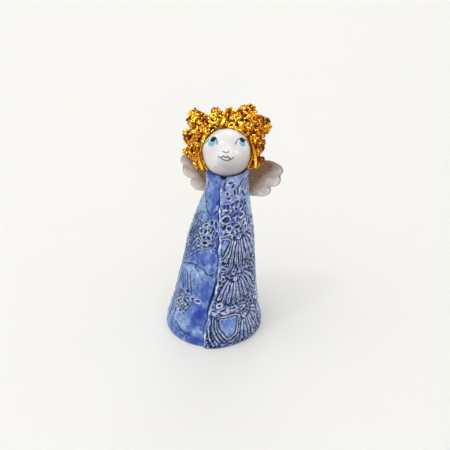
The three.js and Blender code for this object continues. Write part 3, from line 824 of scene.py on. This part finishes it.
def clouds(finish, size, low, high, to_low=0.0, to_high=1.0, **kind):
    """Mottles of this size and kind, whose values from low to high are stretched over a new range."""
    return spread_out(finish, mottle(finish, size, **kind), low, high, to_low, to_high)


def blended(finish, share, low, high):
    """Two colours mixed by a share."""
    return add(finish, "ShaderNodeMix", {"data_type": "RGBA"}, {0: share, 6: low, 7: high}).outputs[2]


def connect(finish, socket, output):
    finish.node_tree.links.new(output, finish.node_tree.nodes["Principled BSDF"].inputs[socket])


def colour(finish, base, *layers):
    """Colours the finish: layers over a base, each with its share of every spot and its colour."""
    for share, tone in layers:
        base = blended(finish, share, base, tone)
    connect(finish, "Base Color", base)


def gloss(finish, size, low, high):
    """Roughness that drifts between two values."""
    connect(finish, "Roughness", clouds(finish, size, 0.3, 0.7, low, high))


def roughen(finish, size, depth, **kind):
    """Fine relief of this size and depth that the mesh is too coarse for."""
    inputs = {"Height": mottle(finish, size, **kind), "Distance": depth, "Strength": 1.0}
    connect(finish, "Normal", add(finish, "ShaderNodeBump", None, inputs).outputs["Normal"])


GLAZE_BLUE = (0.052, 0.115, 0.43, 1)
GLAZE_PALE_BLUE = (0.23, 0.41, 0.72, 1)
GLAZE_LAVENDER = (0.10, 0.17, 0.56, 1)
GLAZE_COBALT = (0.02, 0.05, 0.37, 1)
GLAZE_NAVY = (0.012, 0.022, 0.12, 1)
GLAZE_THIN = (0.34, 0.50, 0.79, 1)
GLAZE_THREAD = (0.66, 0.74, 0.97, 1)
GLAZE_THREAD_LEFT = (0.52, 0.65, 0.90, 1)
GLAZE_THREAD_BARE_AND_SPARKLE = (1.0, 1.0, 1.0, 1)
GLAZE_COLLAR = (0.24, 0.33, 0.60, 1)
GLAZE_DEEP = (0.003, 0.004, 0.045, 1)

blue_glaze = new_finish(
    "blue_glaze",
    {"Coat Weight": 0.36, "Coat Roughness": 0.05, "Specular IOR Level": 0.05},
)
panel = marked(blue_glaze, "panel")
cloud = clouds(blue_glaze, 9 * MM, 0.34, 0.66, detail=4.0, stretch=1.3, swirl=1.2)
left_blue = blended(blue_glaze, cloud, GLAZE_BLUE, GLAZE_PALE_BLUE)
right_blue = blended(blue_glaze, times(blue_glaze, cloud, 0.6), GLAZE_LAVENDER, GLAZE_PALE_BLUE)
thread_blue = blended(blue_glaze, panel, GLAZE_THREAD_LEFT, GLAZE_THREAD)
# The threads go near white in patches where the glaze ran bare, which also serve as painted sparkle
# highlights.
thread_bare_and_sparkle = clouds(blue_glaze, 5 * MM, 0.45, 0.6, roughness=0.6)
thread_tone = blended(blue_glaze, thread_bare_and_sparkle, thread_blue, GLAZE_THREAD_BARE_AND_SPARKLE)
thinning = clouds(blue_glaze, 3.5 * MM, 0.3, 0.65, 0.3, detail=4.0, roughness=0.6, stretch=1.2, swirl=1.5)
wisps = clouds(blue_glaze, 3.2 * MM, 0.52, 0.72, 0.0, 0.6, detail=4.0, roughness=0.5, stretch=1.5, swirl=0.8)
runs = clouds(blue_glaze, 2.8 * MM, 0.53, 0.68, 0.0, 0.8, detail=4.0, stretch=1.5, swirl=0.8)
worn = clouds(blue_glaze, 2.6 * MM, 0.25, 0.5, 0.55)
colour(
    blue_glaze,
    blended(blue_glaze, panel, left_blue, right_blue),
    # Also painted light at the right panel's right edge.
    (marked(blue_glaze, "thin_and_edge_light", thinning), GLAZE_THIN),
    (marked(blue_glaze, "collar"), GLAZE_COLLAR),
    (wisps, thread_tone),
    (runs, GLAZE_NAVY),
    # Also the painted shade beside the lapped edge.
    (marked(blue_glaze, "pool_and_lap_shade"), GLAZE_COBALT),
    # Also the painted shade in the groove beside the lap.
    (marked(blue_glaze, "pit_and_groove_shade"), GLAZE_DEEP),
    # Also the painted highlight along the lapped edge.
    (marked(blue_glaze, "thread", worn), thread_tone),
)
gloss(blue_glaze, 5 * MM, 0.1, 0.28)
roughen(blue_glaze, 1.8 * MM, 0.07 * MM, detail=2.0)

CLAY_PALE = (0.52, 0.42, 0.32, 1)
CLAY_DARK = (0.36, 0.27, 0.19, 1)
bare_clay = new_finish("bare_clay", {"Specular IOR Level": 0.25})
grog = clouds(bare_clay, 1.2 * MM, 0.35, 0.65, detail=6.0, roughness=0.7)
colour(bare_clay, CLAY_DARK, (grog, CLAY_PALE))
gloss(bare_clay, 3 * MM, 0.7, 0.95)
roughen(bare_clay, 0.7 * MM, 0.15 * MM, detail=5.0, roughness=0.7)

dress_spots = np.stack([dress_x, dress_y, LEVEL], axis=-1)
dress = form("dress", dress_spots, grid_faces(*TURN.shape, closed_rows=True).tolist(), blue_glaze)
dress.data.materials.append(bare_clay)
under_rows = (row_lift[:, 0] < 0.3 * HEM_ROUND) & (row_share[:, 0] == 0)
inner_rows = row_inset[:, 0] >= 0.9 * SLAB
bare_faces = np.repeat(inner_rows | under_rows, len(past)).astype(np.int32)
dress.data.polygons.foreach_set("material_index", bare_faces)
behind = rise(TURN, 1.6, 2.6)  # where the right panel's lavender fades
mark(dress, "thread", thread * row_print)
mark(dress, "pit_and_groove_shade", rise(pit_and_groove_shade, 0.05, 0.65) * (1 - 0.55 * pool_and_lap_shade) * row_print)
mark(dress, "pool_and_lap_shade", pool_and_lap_shade)
mark(dress, "thin_and_edge_light", thin_and_edge_light)
mark(dress, "collar", rise(LEVEL, 116 * MM, 126 * MM) * (1 - left))
mark(dress, "panel", (1 - left) * (1 - 0.45 * behind))
seat(dress, "dress_slab")

# The neck plug: a lump of the same clay that closes the neck and carries the head. Blue glaze ran
# down onto it through the gap, and its dark navy is painted shade in the gap under the ball.
plug_clay = new_finish("plug_clay", {"Specular IOR Level": 0.1})
glaze_run_and_shade = clouds(plug_clay, 2 * MM, 0.35, 0.65, detail=4.0)
colour(plug_clay, GLAZE_NAVY, (glaze_run_and_shade, GLAZE_BLUE))
gloss(plug_clay, 3 * MM, 0.3, 0.6)
for plug_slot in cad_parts["neck_plug"].material_slots:
    plug_slot.material = plug_clay

# The head: a hollow ball of white clay, dipped in clear white glaze, with the face painted on it
# in thin oxide and a little blue before the firing. It sits in the collar and looks up.
FACE_TILT = math.radians(27)
FACE_FRONT = np.array([0, -math.cos(FACE_TILT), math.sin(FACE_TILT)])
FACE_UP = np.array([0, math.sin(FACE_TILT), math.cos(FACE_TILT)])
FACE_RIGHT = np.array([1.0, 0, 0])
BALL_MIDDLE = np.array(HEAD)
BALL_ROWS = 190
BALL_COLUMNS = 300
BALL_INSET = 0.15 * MM
BALL_DENTS = 0.14 * MM

from_front = np.linspace(0, math.pi, BALL_ROWS + 2)[1:-1, None]
round_front = np.linspace(0, 2 * math.pi, BALL_COLUMNS, endpoint=False)[None, :]
FACE_X = HEAD_RADIUS * from_front * np.cos(round_front)  # across the face, along the ball
FACE_Y = HEAD_RADIUS * from_front * np.sin(round_front)
sideways = np.sin(from_front) * np.cos(round_front)
upward = np.sin(from_front) * np.sin(round_front)
forward = np.cos(from_front) * np.ones_like(round_front)
ball_way = sideways[..., None] * FACE_RIGHT + upward[..., None] * FACE_UP + forward[..., None] * FACE_FRONT
ball_waves = waves(ball_way[..., 0] * HEAD_RADIUS, ball_way[..., 2] * HEAD_RADIUS, 14 * MM, 21)
ball_radius = HEAD_RADIUS - BALL_INSET + BALL_DENTS * ball_waves
ball_spots = BALL_MIDDLE + ball_way * ball_radius[..., None]
ball_ends = [BALL_MIDDLE + FACE_FRONT * HEAD_RADIUS, BALL_MIDDLE - FACE_FRONT * HEAD_RADIUS]
BRUSH_FADE = 0.25


def brush(points, width):
    """A brush stroke through points in mm across and up from the face's middle, thin at its ends."""
    line = np.array(smooth_line(points)) * MM
    ink = np.zeros(FACE_X.shape)
    pieces = len(line) - 1
    for i in range(pieces):
        run = line[i + 1] - line[i]
        x = FACE_X - line[i][0]
        y = FACE_Y - line[i][1]
        s = np.clip((x * run[0] + y * run[1]) / (run @ run), 0, 1)
        swell = np.sin(math.pi * (i + s) / pieces)
        rim = 0.5 * width * MM * (1 - BRUSH_FADE + BRUSH_FADE * swell)
        distance = np.hypot(x - s * run[0], y - s * run[1])
        ink = np.maximum(ink, 1 - rise(distance, rim - 0.12 * MM, rim + 0.22 * MM))
    return ink


def dab(x, y, wide, tall, soft):
    """An oval of paint, its middle and half sizes in mm."""
    reach = np.hypot((FACE_X / MM - x) / wide, (FACE_Y / MM - y) / tall)
    return 1 - rise(reach, 1 - soft, 1 + soft)


# Strokes as points across and up from the face's middle and the brush's width, all in mm, and how
# dark each is.
STROKES = (
    (((-23.2, 9.5), (-19.4, 10.6), (-16.6, 12.4)), 1.7, 0.9),
    (((-16.0, 15.2), (-14.6, 14.4), (-12.6, 14.0), (-10.0, 13.0)), 0.8, 0.6),
    (((-9.6, 12.8), (-8.2, 10.2), (-7.5, 6.2)), 1.1, 0.9),
    (((11.8, 12.7), (8.9, 10.4), (7.1, 7.2)), 0.95, 0.8),
    (((8.0, 8.6), (7.1, 7.2), (7.2, 6.6)), 1.2, 0.85),
    (((17.2, 12.4), (20.2, 10.9), (23.0, 7.4)), 2.0, 0.9),
    (((-2.9, 0.8), (-1.7, 0.1), (-0.4, -0.3), (0.6, -0.3), (1.5, 0.9)), 0.95, 0.85),
    (((-6.6, -3.3), (-4.7, -4.0), (-3.4, -3.1), (-2.2, -3.1), (-0.9, -4.2)), 1.05, 1.0),
    (((-0.9, -4.2), (0.6, -3.1), (1.9, -4.5), (3.3, -5.3), (5.5, -3.9)), 1.05, 1.0),
    (((-4.7, -4.0), (-2.8, -5.5), (-0.4, -6.4), (2.1, -6.0), (3.3, -5.3)), 0.95, 0.95),
)
# Dabs in pairs: the middle of each, its half sizes, in mm, and how soft its edge is.
DABS = {
    "pupil": ((-11.8, 11.3, 2.9, 2.5, 0.14), (14.0, 11.2, 2.9, 2.6, 0.14)),
    "iris": ((-12.9, 8.0, 4.0, 3.3, 0.25), (13.4, 7.6, 3.0, 3.0, 0.25)),
    "blush": ((-16, -1, 7, 6, 0.8), (14, -2, 7, 6, 0.8)),
}
FRECKLE = (-9.5, -12.5, 1.0, 0.6, 0.3)  # a faint speck by the chin

line_paint = 0.35 * dab(*FRECKLE)
for points, width, strength in STROKES:
    line_paint = np.maximum(line_paint, strength * brush(points, width))
# The 'low' paint is painted shade: the ball darker towards its underside and a little towards +X.
paints = {"line": line_paint, "low": rise(-upward + 0.35 * sideways, -0.1, 0.95)}
for name, (first, second) in DABS.items():
    paints[name] = np.maximum(dab(*first), dab(*second))

GLAZE_WHITE = (0.89, 0.88, 0.87, 1)
GLAZE_GREYED = (0.68, 0.67, 0.67, 1)
PAINTED_SHADE_GREY = (0.22, 0.20, 0.20, 1)
PAINT_LINE = (0.05, 0.04, 0.04, 1)
PAINT_IRIS = (0.17, 0.45, 0.55, 1)
PAINT_PUPIL = (0.004, 0.007, 0.010, 1)
PAINT_BLUSH = (0.80, 0.60, 0.56, 1)

white_glaze = new_finish(
    "white_glaze",
    {"Coat Weight": 0.15, "Coat Roughness": 0.09, "Specular IOR Level": 0.1},
)
colour(
    white_glaze,
    GLAZE_WHITE,
    (clouds(white_glaze, 12 * MM, 0.35, 0.7, detail=4.0), GLAZE_GREYED),
    # Painted shade on the ball's lower side.
    (marked(white_glaze, "low", 0.7), PAINTED_SHADE_GREY),
    (marked(white_glaze, "blush", 0.3), PAINT_BLUSH),
    (marked(white_glaze, "iris", clouds(white_glaze, 1.5 * MM, 0.3, 0.7, 0.75)), PAINT_IRIS),
    (marked(white_glaze, "line", clouds(white_glaze, 0.6 * MM, 0.3, 0.7, 0.7)), PAINT_LINE),
    (marked(white_glaze, "pupil"), PAINT_PUPIL),
)
gloss(white_glaze, 6 * MM, 0.12, 0.26)
roughen(white_glaze, 4 * MM, 0.12 * MM, detail=2.0)

# The ball's faces turn outwards, and close on one spot in the face's middle and one behind it.
front_spot = BALL_ROWS * BALL_COLUMNS
last_row = front_spot - BALL_COLUMNS
ball_faces = grid_faces(BALL_ROWS, BALL_COLUMNS).tolist()
for column in range(BALL_COLUMNS):
    following = (column + 1) % BALL_COLUMNS
    ball_faces.append([front_spot, following, column])
    ball_faces.append([front_spot + 1, last_row + column, last_row + following])
ball_faces = [face[::-1] for face in ball_faces]

head = form("head", np.vstack([ball_spots.reshape(-1, 3), ball_ends]), ball_faces, white_glaze)
for name, paint in paints.items():
    mark(head, name, np.append(paint.ravel(), [0, 0]))
seat(head, "head_ball")

# The wings: two cut slabs of white clay with three feather lobes each, cupped forward and slipped
# to the back of the dress. Iron oxide was wiped into them by the root, under the white glaze.
WING_SPAN = 40.4 * MM
WING_THICKNESS = 3.4 * MM
WING_RIM = 2.4 * MM
WING_CUP = 5 * MM
WING_ROOT_LENGTH = 5 * MM
WING_ROOT_BESIDE = 5 * MM
WING_ROOT_SINK = 5.5 * MM
WING_ROOT_HEIGHT = DRESS_HEIGHT - 20 * MM
WING_LEAN = math.radians(14)
WING_SWEEPS = {"right": math.radians(15), "left": math.radians(45)}
# Angle from straight out, upwards, in degrees, and the rim's distance as a share of WING_SPAN.
WING_RIM_SHARES = (
    (-62, 0.26),
    (-54, 0.3),
    (-46, 0.36),
    (-40, 0.42),
    (-36, 0.475),
    (-32, 0.55),
    (-29, 0.63),
    (-25.5, 0.7),
    (-21, 0.755),
    (-16, 0.775),
    (-12, 0.765),
    (-9.8, 0.74),
    (-8.6, 0.83),
    (-5.6, 0.9),
    (-2.6, 0.93),
    (1, 0.94),
    (4.2, 0.935),
    (6, 0.94),
    (8.5, 0.98),
    (11, 1),
    (14.5, 0.995),
    (18, 0.97),
    (21.5, 0.925),
    (25, 0.885),
    (28.5, 0.835),
    (33, 0.76),
    (39, 0.68),
    (47, 0.58),
    (58, 0.46),
    (76, 0.36),
)
WING_NOTCHES = (-9.5, 5.4)  # where one feather lobe meets the next, in degrees
WING_VALLEY = 0.45 * MM  # how deep the slab is pressed in between two lobes
WING_VALLEY_WIDTH = 1.5 * MM
WING_BEAD = 0.25 * MM  # how far the pinched rim stands up
WING_DENTS = 0.22 * MM
WING_RAYS = 240
WING_STEPS = 56
WING_CURL = np.radians(np.arange(15, 180, 15))  # round the rim, from one face to the other

WHITE_SLIP = (0.84, 0.79, 0.75, 1)
WHITE_GREY = (0.58, 0.51, 0.46, 1)
OXIDE = (0.18, 0.068, 0.02, 1)
OXIDE_LINE = (0.14, 0.075, 0.05, 1)
stained_glaze = new_finish(
    "stained_white_glaze",
    {"Coat Weight": 0.8, "Coat Roughness": 0.06, "Specular IOR Level": 0.2},
)
smear = clouds(stained_glaze, 4 * MM, 0.3, 0.7, 0.85, 1.15, detail=5.0, roughness=0.6, swirl=1.5)
colour(
    stained_glaze,
    WHITE_SLIP,
    (clouds(stained_glaze, 7 * MM, 0.4, 0.72, detail=4.0, swirl=1.0), WHITE_GREY),
    # The oxide, with the paler band inside the rim that is a painted highlight.
    (marked(stained_glaze, "stain_and_rim_highlight", smear), OXIDE),
    (marked(stained_glaze, "line"), OXIDE_LINE),
)
gloss(stained_glaze, 4 * MM, 0.14, 0.3)
roughen(stained_glaze, 3.5 * MM, 0.08 * MM, detail=2.0)

root_place = WING_ROOT_HEIGHT / DRESS_HEIGHT
root_x = FOOT.x + NECK_LEAN * float(along(DRESS_SHARES, 2, root_place))
root_y = FOOT.y + HEM_RADIUS * float(along(DRESS_SHARES, 1, root_place)) - WING_ROOT_SINK
degrees = np.linspace(WING_RIM_SHARES[0][0], WING_RIM_SHARES[-1][0], WING_RAYS)[:, None]
angle = np.radians(degrees)
rim = WING_SPAN * along(WING_RIM_SHARES, 1, degrees)
round_edge = WING_RIM / 2

# A wing's section from the root out over its front face, round the rim and back.
run_out = np.linspace(0, 1, WING_STEPS) * (rim - round_edge - WING_ROOT_LENGTH) + WING_ROOT_LENGTH
reach = np.hstack([run_out, rim - round_edge + round_edge * np.sin(WING_CURL), run_out[:, ::-1]])
facing = np.concatenate([np.ones(WING_STEPS), np.cos(WING_CURL), -np.ones(WING_STEPS)])[None, :]
span_share = reach / WING_SPAN
wing_x = reach * np.cos(angle)
wing_y = reach * np.sin(angle)
to_rim = rim - reach
thick = WING_THICKNESS + (WING_RIM - WING_THICKNESS) * np.minimum(span_share, 1)
valley = 0
for notch in WING_NOTCHES:
    aside = np.radians(degrees - notch) * reach
    valley = valley + near(aside, WING_VALLEY_WIDTH) * rise(span_share, 0.42, 0.85)
valley = np.clip(valley, 0, 1)
swell = facing * (thick / 2 - WING_VALLEY * valley + WING_BEAD * near(to_rim - 1.6 * MM, 1.0 * MM))
cup = WING_CUP * span_share * span_share
up = np.array([0, math.sin(WING_LEAN), math.cos(WING_LEAN)])

# The oxide stayed by the root and upwards from it, less so on the back, and in a line at the rim;
# a band just inside the rim is kept pale as a painted highlight.
from_root = (np.cos(angle) - np.sin(angle)) * span_share
oxide_and_rim_highlight = 1.35 * (1 - rise(from_root, 0.12, 1.05)) * (1 - 0.5 * near(to_rim, 2.2 * MM))
oxide_and_rim_highlight = np.clip(oxide_and_rim_highlight * np.where(facing > -0.5, 1, 0.25), 0, 1)
edge_line = np.clip(0.85 * near(to_rim - 0.9 * MM, 0.55 * MM) + 0.35 * valley, 0, 1)

for side_name, sweep in WING_SWEEPS.items():
    side = 1 if side_name == "right" else -1
    press = WING_DENTS * waves(wing_x, wing_y, 9 * MM, 31 + side)
    out = np.array([side * math.cos(sweep), math.sin(sweep), 0])
    ahead = np.array([side * math.sin(sweep), -math.cos(sweep), 0])
    root = np.array([root_x + side * WING_ROOT_BESIDE, root_y, WING_ROOT_HEIGHT])
    lift = cup + swell + press
    spots = root + wing_x[..., None] * out + wing_y[..., None] * up + lift[..., None] * ahead
    faces = grid_faces(*reach.shape)
    first_end = list(range(reach.shape[1]))
    last_end = list(range(reach.size - reach.shape[1], reach.size))
    if side > 0:
        faces = faces[:, ::-1]
        last_end.reverse()
    else:
        first_end.reverse()
    wing = form("wing_" + side_name + "_slab", spots, faces.tolist() + [first_end, last_end], stained_glaze)
    mark(wing, "stain_and_rim_highlight", oxide_and_rim_highlight)
    mark(wing, "line", edge_line)
    seat(wing, "wing_" + side_name)

# The locks: smooth bands of clay beside the face, each rolled from a few thin coils laid together,
# pressed to the ball and covered with gold lustre.
LOCK_WIDTH = 3.8 * MM
LOCK_CLEARANCE = 0.3 * MM
# Turn from the crown, angle behind the face's plane, and the height above the ball as a share of
# LOCK_WIDTH.
LOCK_PATH_SHARES = {
    "forehead_lock_left": ((-15, -12, 0.5), (-9, -10, 1), (-3, -6, 1.9)),
    "forehead_lock_right": ((37, -12, 0.5), (31, -10, 1), (26, -6, 1.9)),
    "side_lock_right": ((66, -9, 0.5), (82, -10, 0.55), (96, -11, 0.8), (108, -11, 1.2), (118, -11, 1.6)),
    "side_lock_left": ((-90, -9, 0.8), (-103, -11, 0.85), (-114, -11, 0.9), (-125, -11, 1.05)),
}
# Three coils side by side: how far aside each lies, and half its thickness.
LOCK_COILS = ((-1 * MM, 0.85 * MM), (0, 1.1 * MM), (1 * MM, 0.85 * MM))
LOCK_PROFILE = (0.45, 0.6, 0.72, 0.82, 0.9, 0.96, 1, 1, 1, 1, 0.98, 0.96, 0.92, 0.86, 0.76, 0.55)
COIL_END = 0.6  # how far a coil's end stands out, as a share of half its thickness
SKEW_WAY = (0.31, -0.57, 0.76)  # a direction that no strand runs along


def hair_way(turn, back):
    """The direction from the ball's middle at a turn from the crown and an angle behind the face."""
    t = math.radians(turn)
    b = math.radians(back)
    over = math.sin(t) * math.cos(b) * FACE_RIGHT + math.cos(t) * math.cos(b) * FACE_UP
    return over - math.sin(b) * FACE_FRONT


def unit(vectors):
    return vectors / (np.linalg.norm(vectors, axis=-1, keepdims=True) + 1e-12)


def coils(lines, thickness, profile, sides=7):
    """Round strands along many lines at once, each with the same profile of thickness from root to
    tip: their spots, their faces, and each spot's share of the way."""
    count, steps, _ = lines.shape
    ahead = unit(np.gradient(lines, axis=1))
    helper = unit(np.cross(ahead[:, steps // 2], SKEW_WAY))
    across = unit(np.cross(ahead, helper[:, None, :]))
    beside = np.cross(ahead, across)
    girth = thickness[:, None] * np.array(profile)
    angles = np.linspace(0, 2 * math.pi, sides, endpoint=False)
    around = np.cos(angles)[:, None] * across[:, :, None] + np.sin(angles)[:, None] * beside[:, :, None]
    rings = lines[:, :, None] + girth[:, :, None, None] * around
    first = lines[:, 0] - ahead[:, 0] * girth[:, :1] * COIL_END
    last = lines[:, -1] + ahead[:, -1] * girth[:, -1:] * COIL_END
    spots = np.concatenate([rings.reshape(count, -1, 3), first[:, None], last[:, None]], axis=1)
    body = steps * sides
    tail = body - sides
    quads = grid_faces(steps, sides)[:, ::-1]
    starts = [(body, i, (i + 1) % sides) for i in range(sides)]
    stops = [(body + 1, tail + (i + 1) % sides, tail + i) for i in range(sides)]
    ends = np.array(starts + stops)
    faces = []
    for strand in range(count):
        faces += (quads + strand * (body + 2)).tolist()
        faces += (ends + strand * (body + 2)).tolist()
    way = np.concatenate([np.repeat(np.linspace(0, 1, steps), sides), [0, 1]])
    return spots.reshape(-1, 3), faces, np.tile(way, count)


GOLD_DARK = (0.15, 0.018, 0.001, 1)
GOLD_AMBER = (0.62, 0.19, 0.004, 1)
GOLD_BRIGHT = (0.96, 0.46, 0.006, 1)
GOLD_YELLOW = (1.0, 0.76, 0.07, 1)
gold_lustre = new_finish(
    "gold_lustre",
    {"Metallic": 0.45, "Coat Weight": 0.06, "Coat Roughness": 0.1, "Specular IOR Level": 0.1},
)
amber_share = spread_out(gold_lustre, marked(gold_lustre, "tip"), 0.0, 0.5)
gold_share = spread_out(gold_lustre, marked(gold_lustre, "tip"), 0.35, 0.95)
gold_share = times(gold_lustre, gold_share, clouds(gold_lustre, 1.5 * MM, 0.3, 0.52))
gold_tone = blended(gold_lustre, marked(gold_lustre, "tint"), GOLD_BRIGHT, GOLD_YELLOW)
colour(gold_lustre, GOLD_DARK, (amber_share, GOLD_AMBER), (gold_share, gold_tone))
gloss(gold_lustre, 2 * MM, 0.2, 0.42)
roughen(gold_lustre, 0.8 * MM, 0.14 * MM, detail=2.0)

for name, path in LOCK_PATH_SHARES.items():
    knots = []
    for i, (turn, back, lift) in enumerate(path):
        knot = hair_way(turn, back) * (HEAD_RADIUS + LOCK_CLEARANCE + lift * LOCK_WIDTH)
        knots.append((i, *knot))
    places = np.linspace(0, len(knots) - 1, len(LOCK_PROFILE))
    middle = np.stack([along(knots, axis + 1, places) for axis in range(3)], axis=1)
    outward = unit(middle)
    across = unit(np.cross(np.gradient(middle, axis=0), outward))
    lines = [BALL_MIDDLE + middle + aside * across - abs(aside) / 4 * outward for aside, _ in LOCK_COILS]
    thickness = np.array([half_coil for _, half_coil in LOCK_COILS])
    spots, faces, way = coils(np.array(lines), thickness, LOCK_PROFILE, 10)
    lock = form(name + "_band", spots, faces, gold_lustre)
    mark(lock, "tip", 0.3 + 0.5 * way)
    mark(lock, "tint", np.ones(len(spots)))
    seat(lock, name)

# The hair: clay pressed through a sieve, lifted off in tufts and pressed on one after another from
# the hairline back. Each tuft is a bed of clay full of short strands that stand out of it and curl
# at their ends, glazed amber-brown, under gold lustre that stayed on their tips.
STRAND = 0.74 * MM  # half a strand's thickness
STRAND_SPACING = 3.3 * MM * MM  # the tuft's surface for each strand
STRAND_PROFILE = (0.8, 0.85, 0.92, 0.86, 1.0, 0.9, 1.06, 1.12, 0.78)
LYING_SHARE = 0.16  # of a tuft's strands
BED_DEPTH = 2.3 * MM
GAPS = 5  # in each tuft
HOLLOW = 2.1 * MM  # from the middle of a gap to the strands round it
HAIRLINE = 0.95 * MM  # from the ball to the middle of a strand laid along the hairline
HAIRLINE_BACKS = (-4.5, -2, 1, 4)  # how far behind the face's plane those lie, in degrees
FIRST_SEED = 500
# How gold a strand is: at its root by the face, at its root elsewhere, and where it lies flat.
HAIRLINE_GOLD = 0.38
ROOT_GOLD = 0.04
LYING_GOLD = 0.95


def surface_of(node):
    """The spots and the triangles of a node."""
    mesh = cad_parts[node].data
    mesh.calc_loop_triangles()
    spots = np.array([vertex.co for vertex in mesh.vertices])
    return spots, np.array([triangle.vertices for triangle in mesh.loop_triangles])


def scatter(corners, slopes, chance):
    """Evenly random spots on triangles, one for each STRAND_SPACING of their area."""
    areas = np.linalg.norm(slopes, axis=1) / 2
    count = max(int(areas.sum() / STRAND_SPACING), 4)
    picked = corners[chance.choice(len(corners), count, p=areas / areas.sum())]
    a = np.sqrt(chance.uniform(0, 1, (count, 1)))
    b = chance.uniform(0, 1, (count, 1))
    return picked[:, 0] * (1 - a) + picked[:, 1] * a * (1 - b) + picked[:, 2] * a * b


def curls(tips, core, chance):
    """Lines of strands that come from about a core and curl at their tips, some lying on the tuft."""
    count = len(tips)
    out = unit(tips - core)
    aside = unit(np.cross(out, chance.normal(size=(count, 3))))[:, None]
    third = np.cross(out[:, None], aside)
    out = out[:, None]
    steps = np.linspace(0, 1, len(STRAND_PROFILE))[None, :, None]

    def vary(low, high):
        return chance.uniform(low, high, (count, 1, 1))

    length = vary(4.5, 8.5) * MM
    spin = vary(0.4, 1.2) * 2 * math.pi * steps + vary(0, 2 * math.pi)
    swing = vary(0.5, 1.3) * MM * steps
    hook = vary(0.2, 2.0) * MM * steps**3
    height = vary(-1.3, 1.2) * MM
    standing = out * (length * (steps - 1) + height - 0.5 * hook * steps) + aside * hook
    standing = standing + (np.cos(spin) * aside + np.sin(spin) * third) * swing
    reach = vary(1.6, 3.2) * MM
    bend = vary(-1.5, 1.5)
    from_middle = 2 * steps - 1
    lying = reach * (from_middle * aside + from_middle**2 / 2 * (bend * third - out)) + 0.3 * MM * out
    lies = chance.uniform(0, 1, count) < LYING_SHARE
    return tips[:, None] + np.where(lies[:, None, None], lying, standing), lies


def laid_strands(middle, chance):
    """Lines of strands that lie on the ball along the hairline, past both sides of a tuft."""
    turn = math.degrees(math.atan2(middle @ FACE_RIGHT, middle @ FACE_UP))
    steps = np.linspace(-1, 1, len(STRAND_PROFILE))
    lines = []
    for back in HAIRLINE_BACKS:
        bow = chance.uniform(-1.5, 1.5)
        lift = chance.uniform(0, 0.5) * MM
        reach = chance.uniform(11, 15)
        shift = chance.uniform(-4, 4)
        ways = [hair_way(turn + shift + reach * s, back + bow * (1 - s * s) + 1.2 * s) for s in steps]
        lines.append([way * (HEAD_RADIUS + HAIRLINE + lift * (1 - s * s)) for way, s in zip(ways, steps)])
    return np.array(lines)


for number, name in enumerate(sorted(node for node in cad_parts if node.startswith("hair_"))):
    chance = np.random.default_rng(FIRST_SEED + number)
    spots, triangles = surface_of(name)
    corners = spots[triangles] - BALL_MIDDLE
    slopes = np.cross(corners[:, 1] - corners[:, 0], corners[:, 2] - corners[:, 0])
    middles = corners.mean(axis=1)
    # Strands grow from the faces that don't look back at the ball or lie on it.
    outer = (unit(slopes) * unit(middles)).sum(axis=1) > -0.6
    outer &= np.linalg.norm(middles, axis=1) > HEAD_RADIUS + 0.3 * MM
    tips = scatter(corners[outer], slopes[outer], chance)
    for hollow in tips[chance.choice(len(tips), GAPS)]:
        tips = tips[np.linalg.norm(tips - hollow, axis=1) > HOLLOW * chance.uniform(0.5, 1.2)]
    reach = np.linalg.norm(spots - BALL_MIDDLE, axis=1).max() - HEAD_RADIUS
    middle = unit((spots - BALL_MIDDLE).mean(axis=0))
    lines, lies = curls(tips, middle * (HEAD_RADIUS + 0.3 * reach), chance)
    root_gold = ROOT_GOLD
    if "hairline" in name:
        root_gold = HAIRLINE_GOLD
        along_brow = laid_strands(middle, chance)
        lines = np.concatenate([lines, along_brow])
        tips = np.concatenate([tips, along_brow[:, len(STRAND_PROFILE) // 2]])
        lies = np.append(lies, [True] * len(along_brow))
    thickness = STRAND * chance.uniform(0.85, 1.2, len(tips))
    strand_spots, strand_faces, way = coils(lines + BALL_MIDDLE, thickness, STRAND_PROFILE)

    # The bed is the tuft's own surface, sunk below its strands.
    swell = np.zeros(spots.shape)
    for corner in range(3):
        np.add.at(swell, triangles[:, corner], slopes)
    bed = spots - unit(swell) * BED_DEPTH
    faces = strand_faces + (triangles + len(strand_spots)).tolist()
    tuft = form(name + "_curls", np.vstack([strand_spots, bed]), faces, gold_lustre)

    # The strands are painted brighter on top and to the left, as painted light; each strand took more or
    # less of the lustre, and is yellower on top and to the left.
    each = len(way) // len(tips)
    tip_ways = unit(tips)
    lustre_and_painted_light = np.where(np.repeat(lies, each), LYING_GOLD, root_gold + (1 - root_gold) * way**1.4)
    painted_light = 0.68 - 0.15 * tip_ways[:, 0] + 0.65 * np.clip(tip_ways[:, 2], 0, 1)
    lustre_and_painted_light = lustre_and_painted_light * np.repeat(painted_light * chance.uniform(-0.1, 1.45, len(tips)), each)
    warm = 0.5 - 0.4 * tip_ways[:, 0] + 0.4 * tip_ways[:, 2] + chance.uniform(-0.35, 0.35, len(tips))
    warm = np.repeat(np.clip(warm + root_gold, 0, 1), each)
    mark(tuft, "tip", np.append(np.clip(lustre_and_painted_light, 0, 1), np.zeros(len(bed))))
    mark(tuft, "tint", np.append(warm, np.zeros(len(bed))))
    seat(tuft, name)
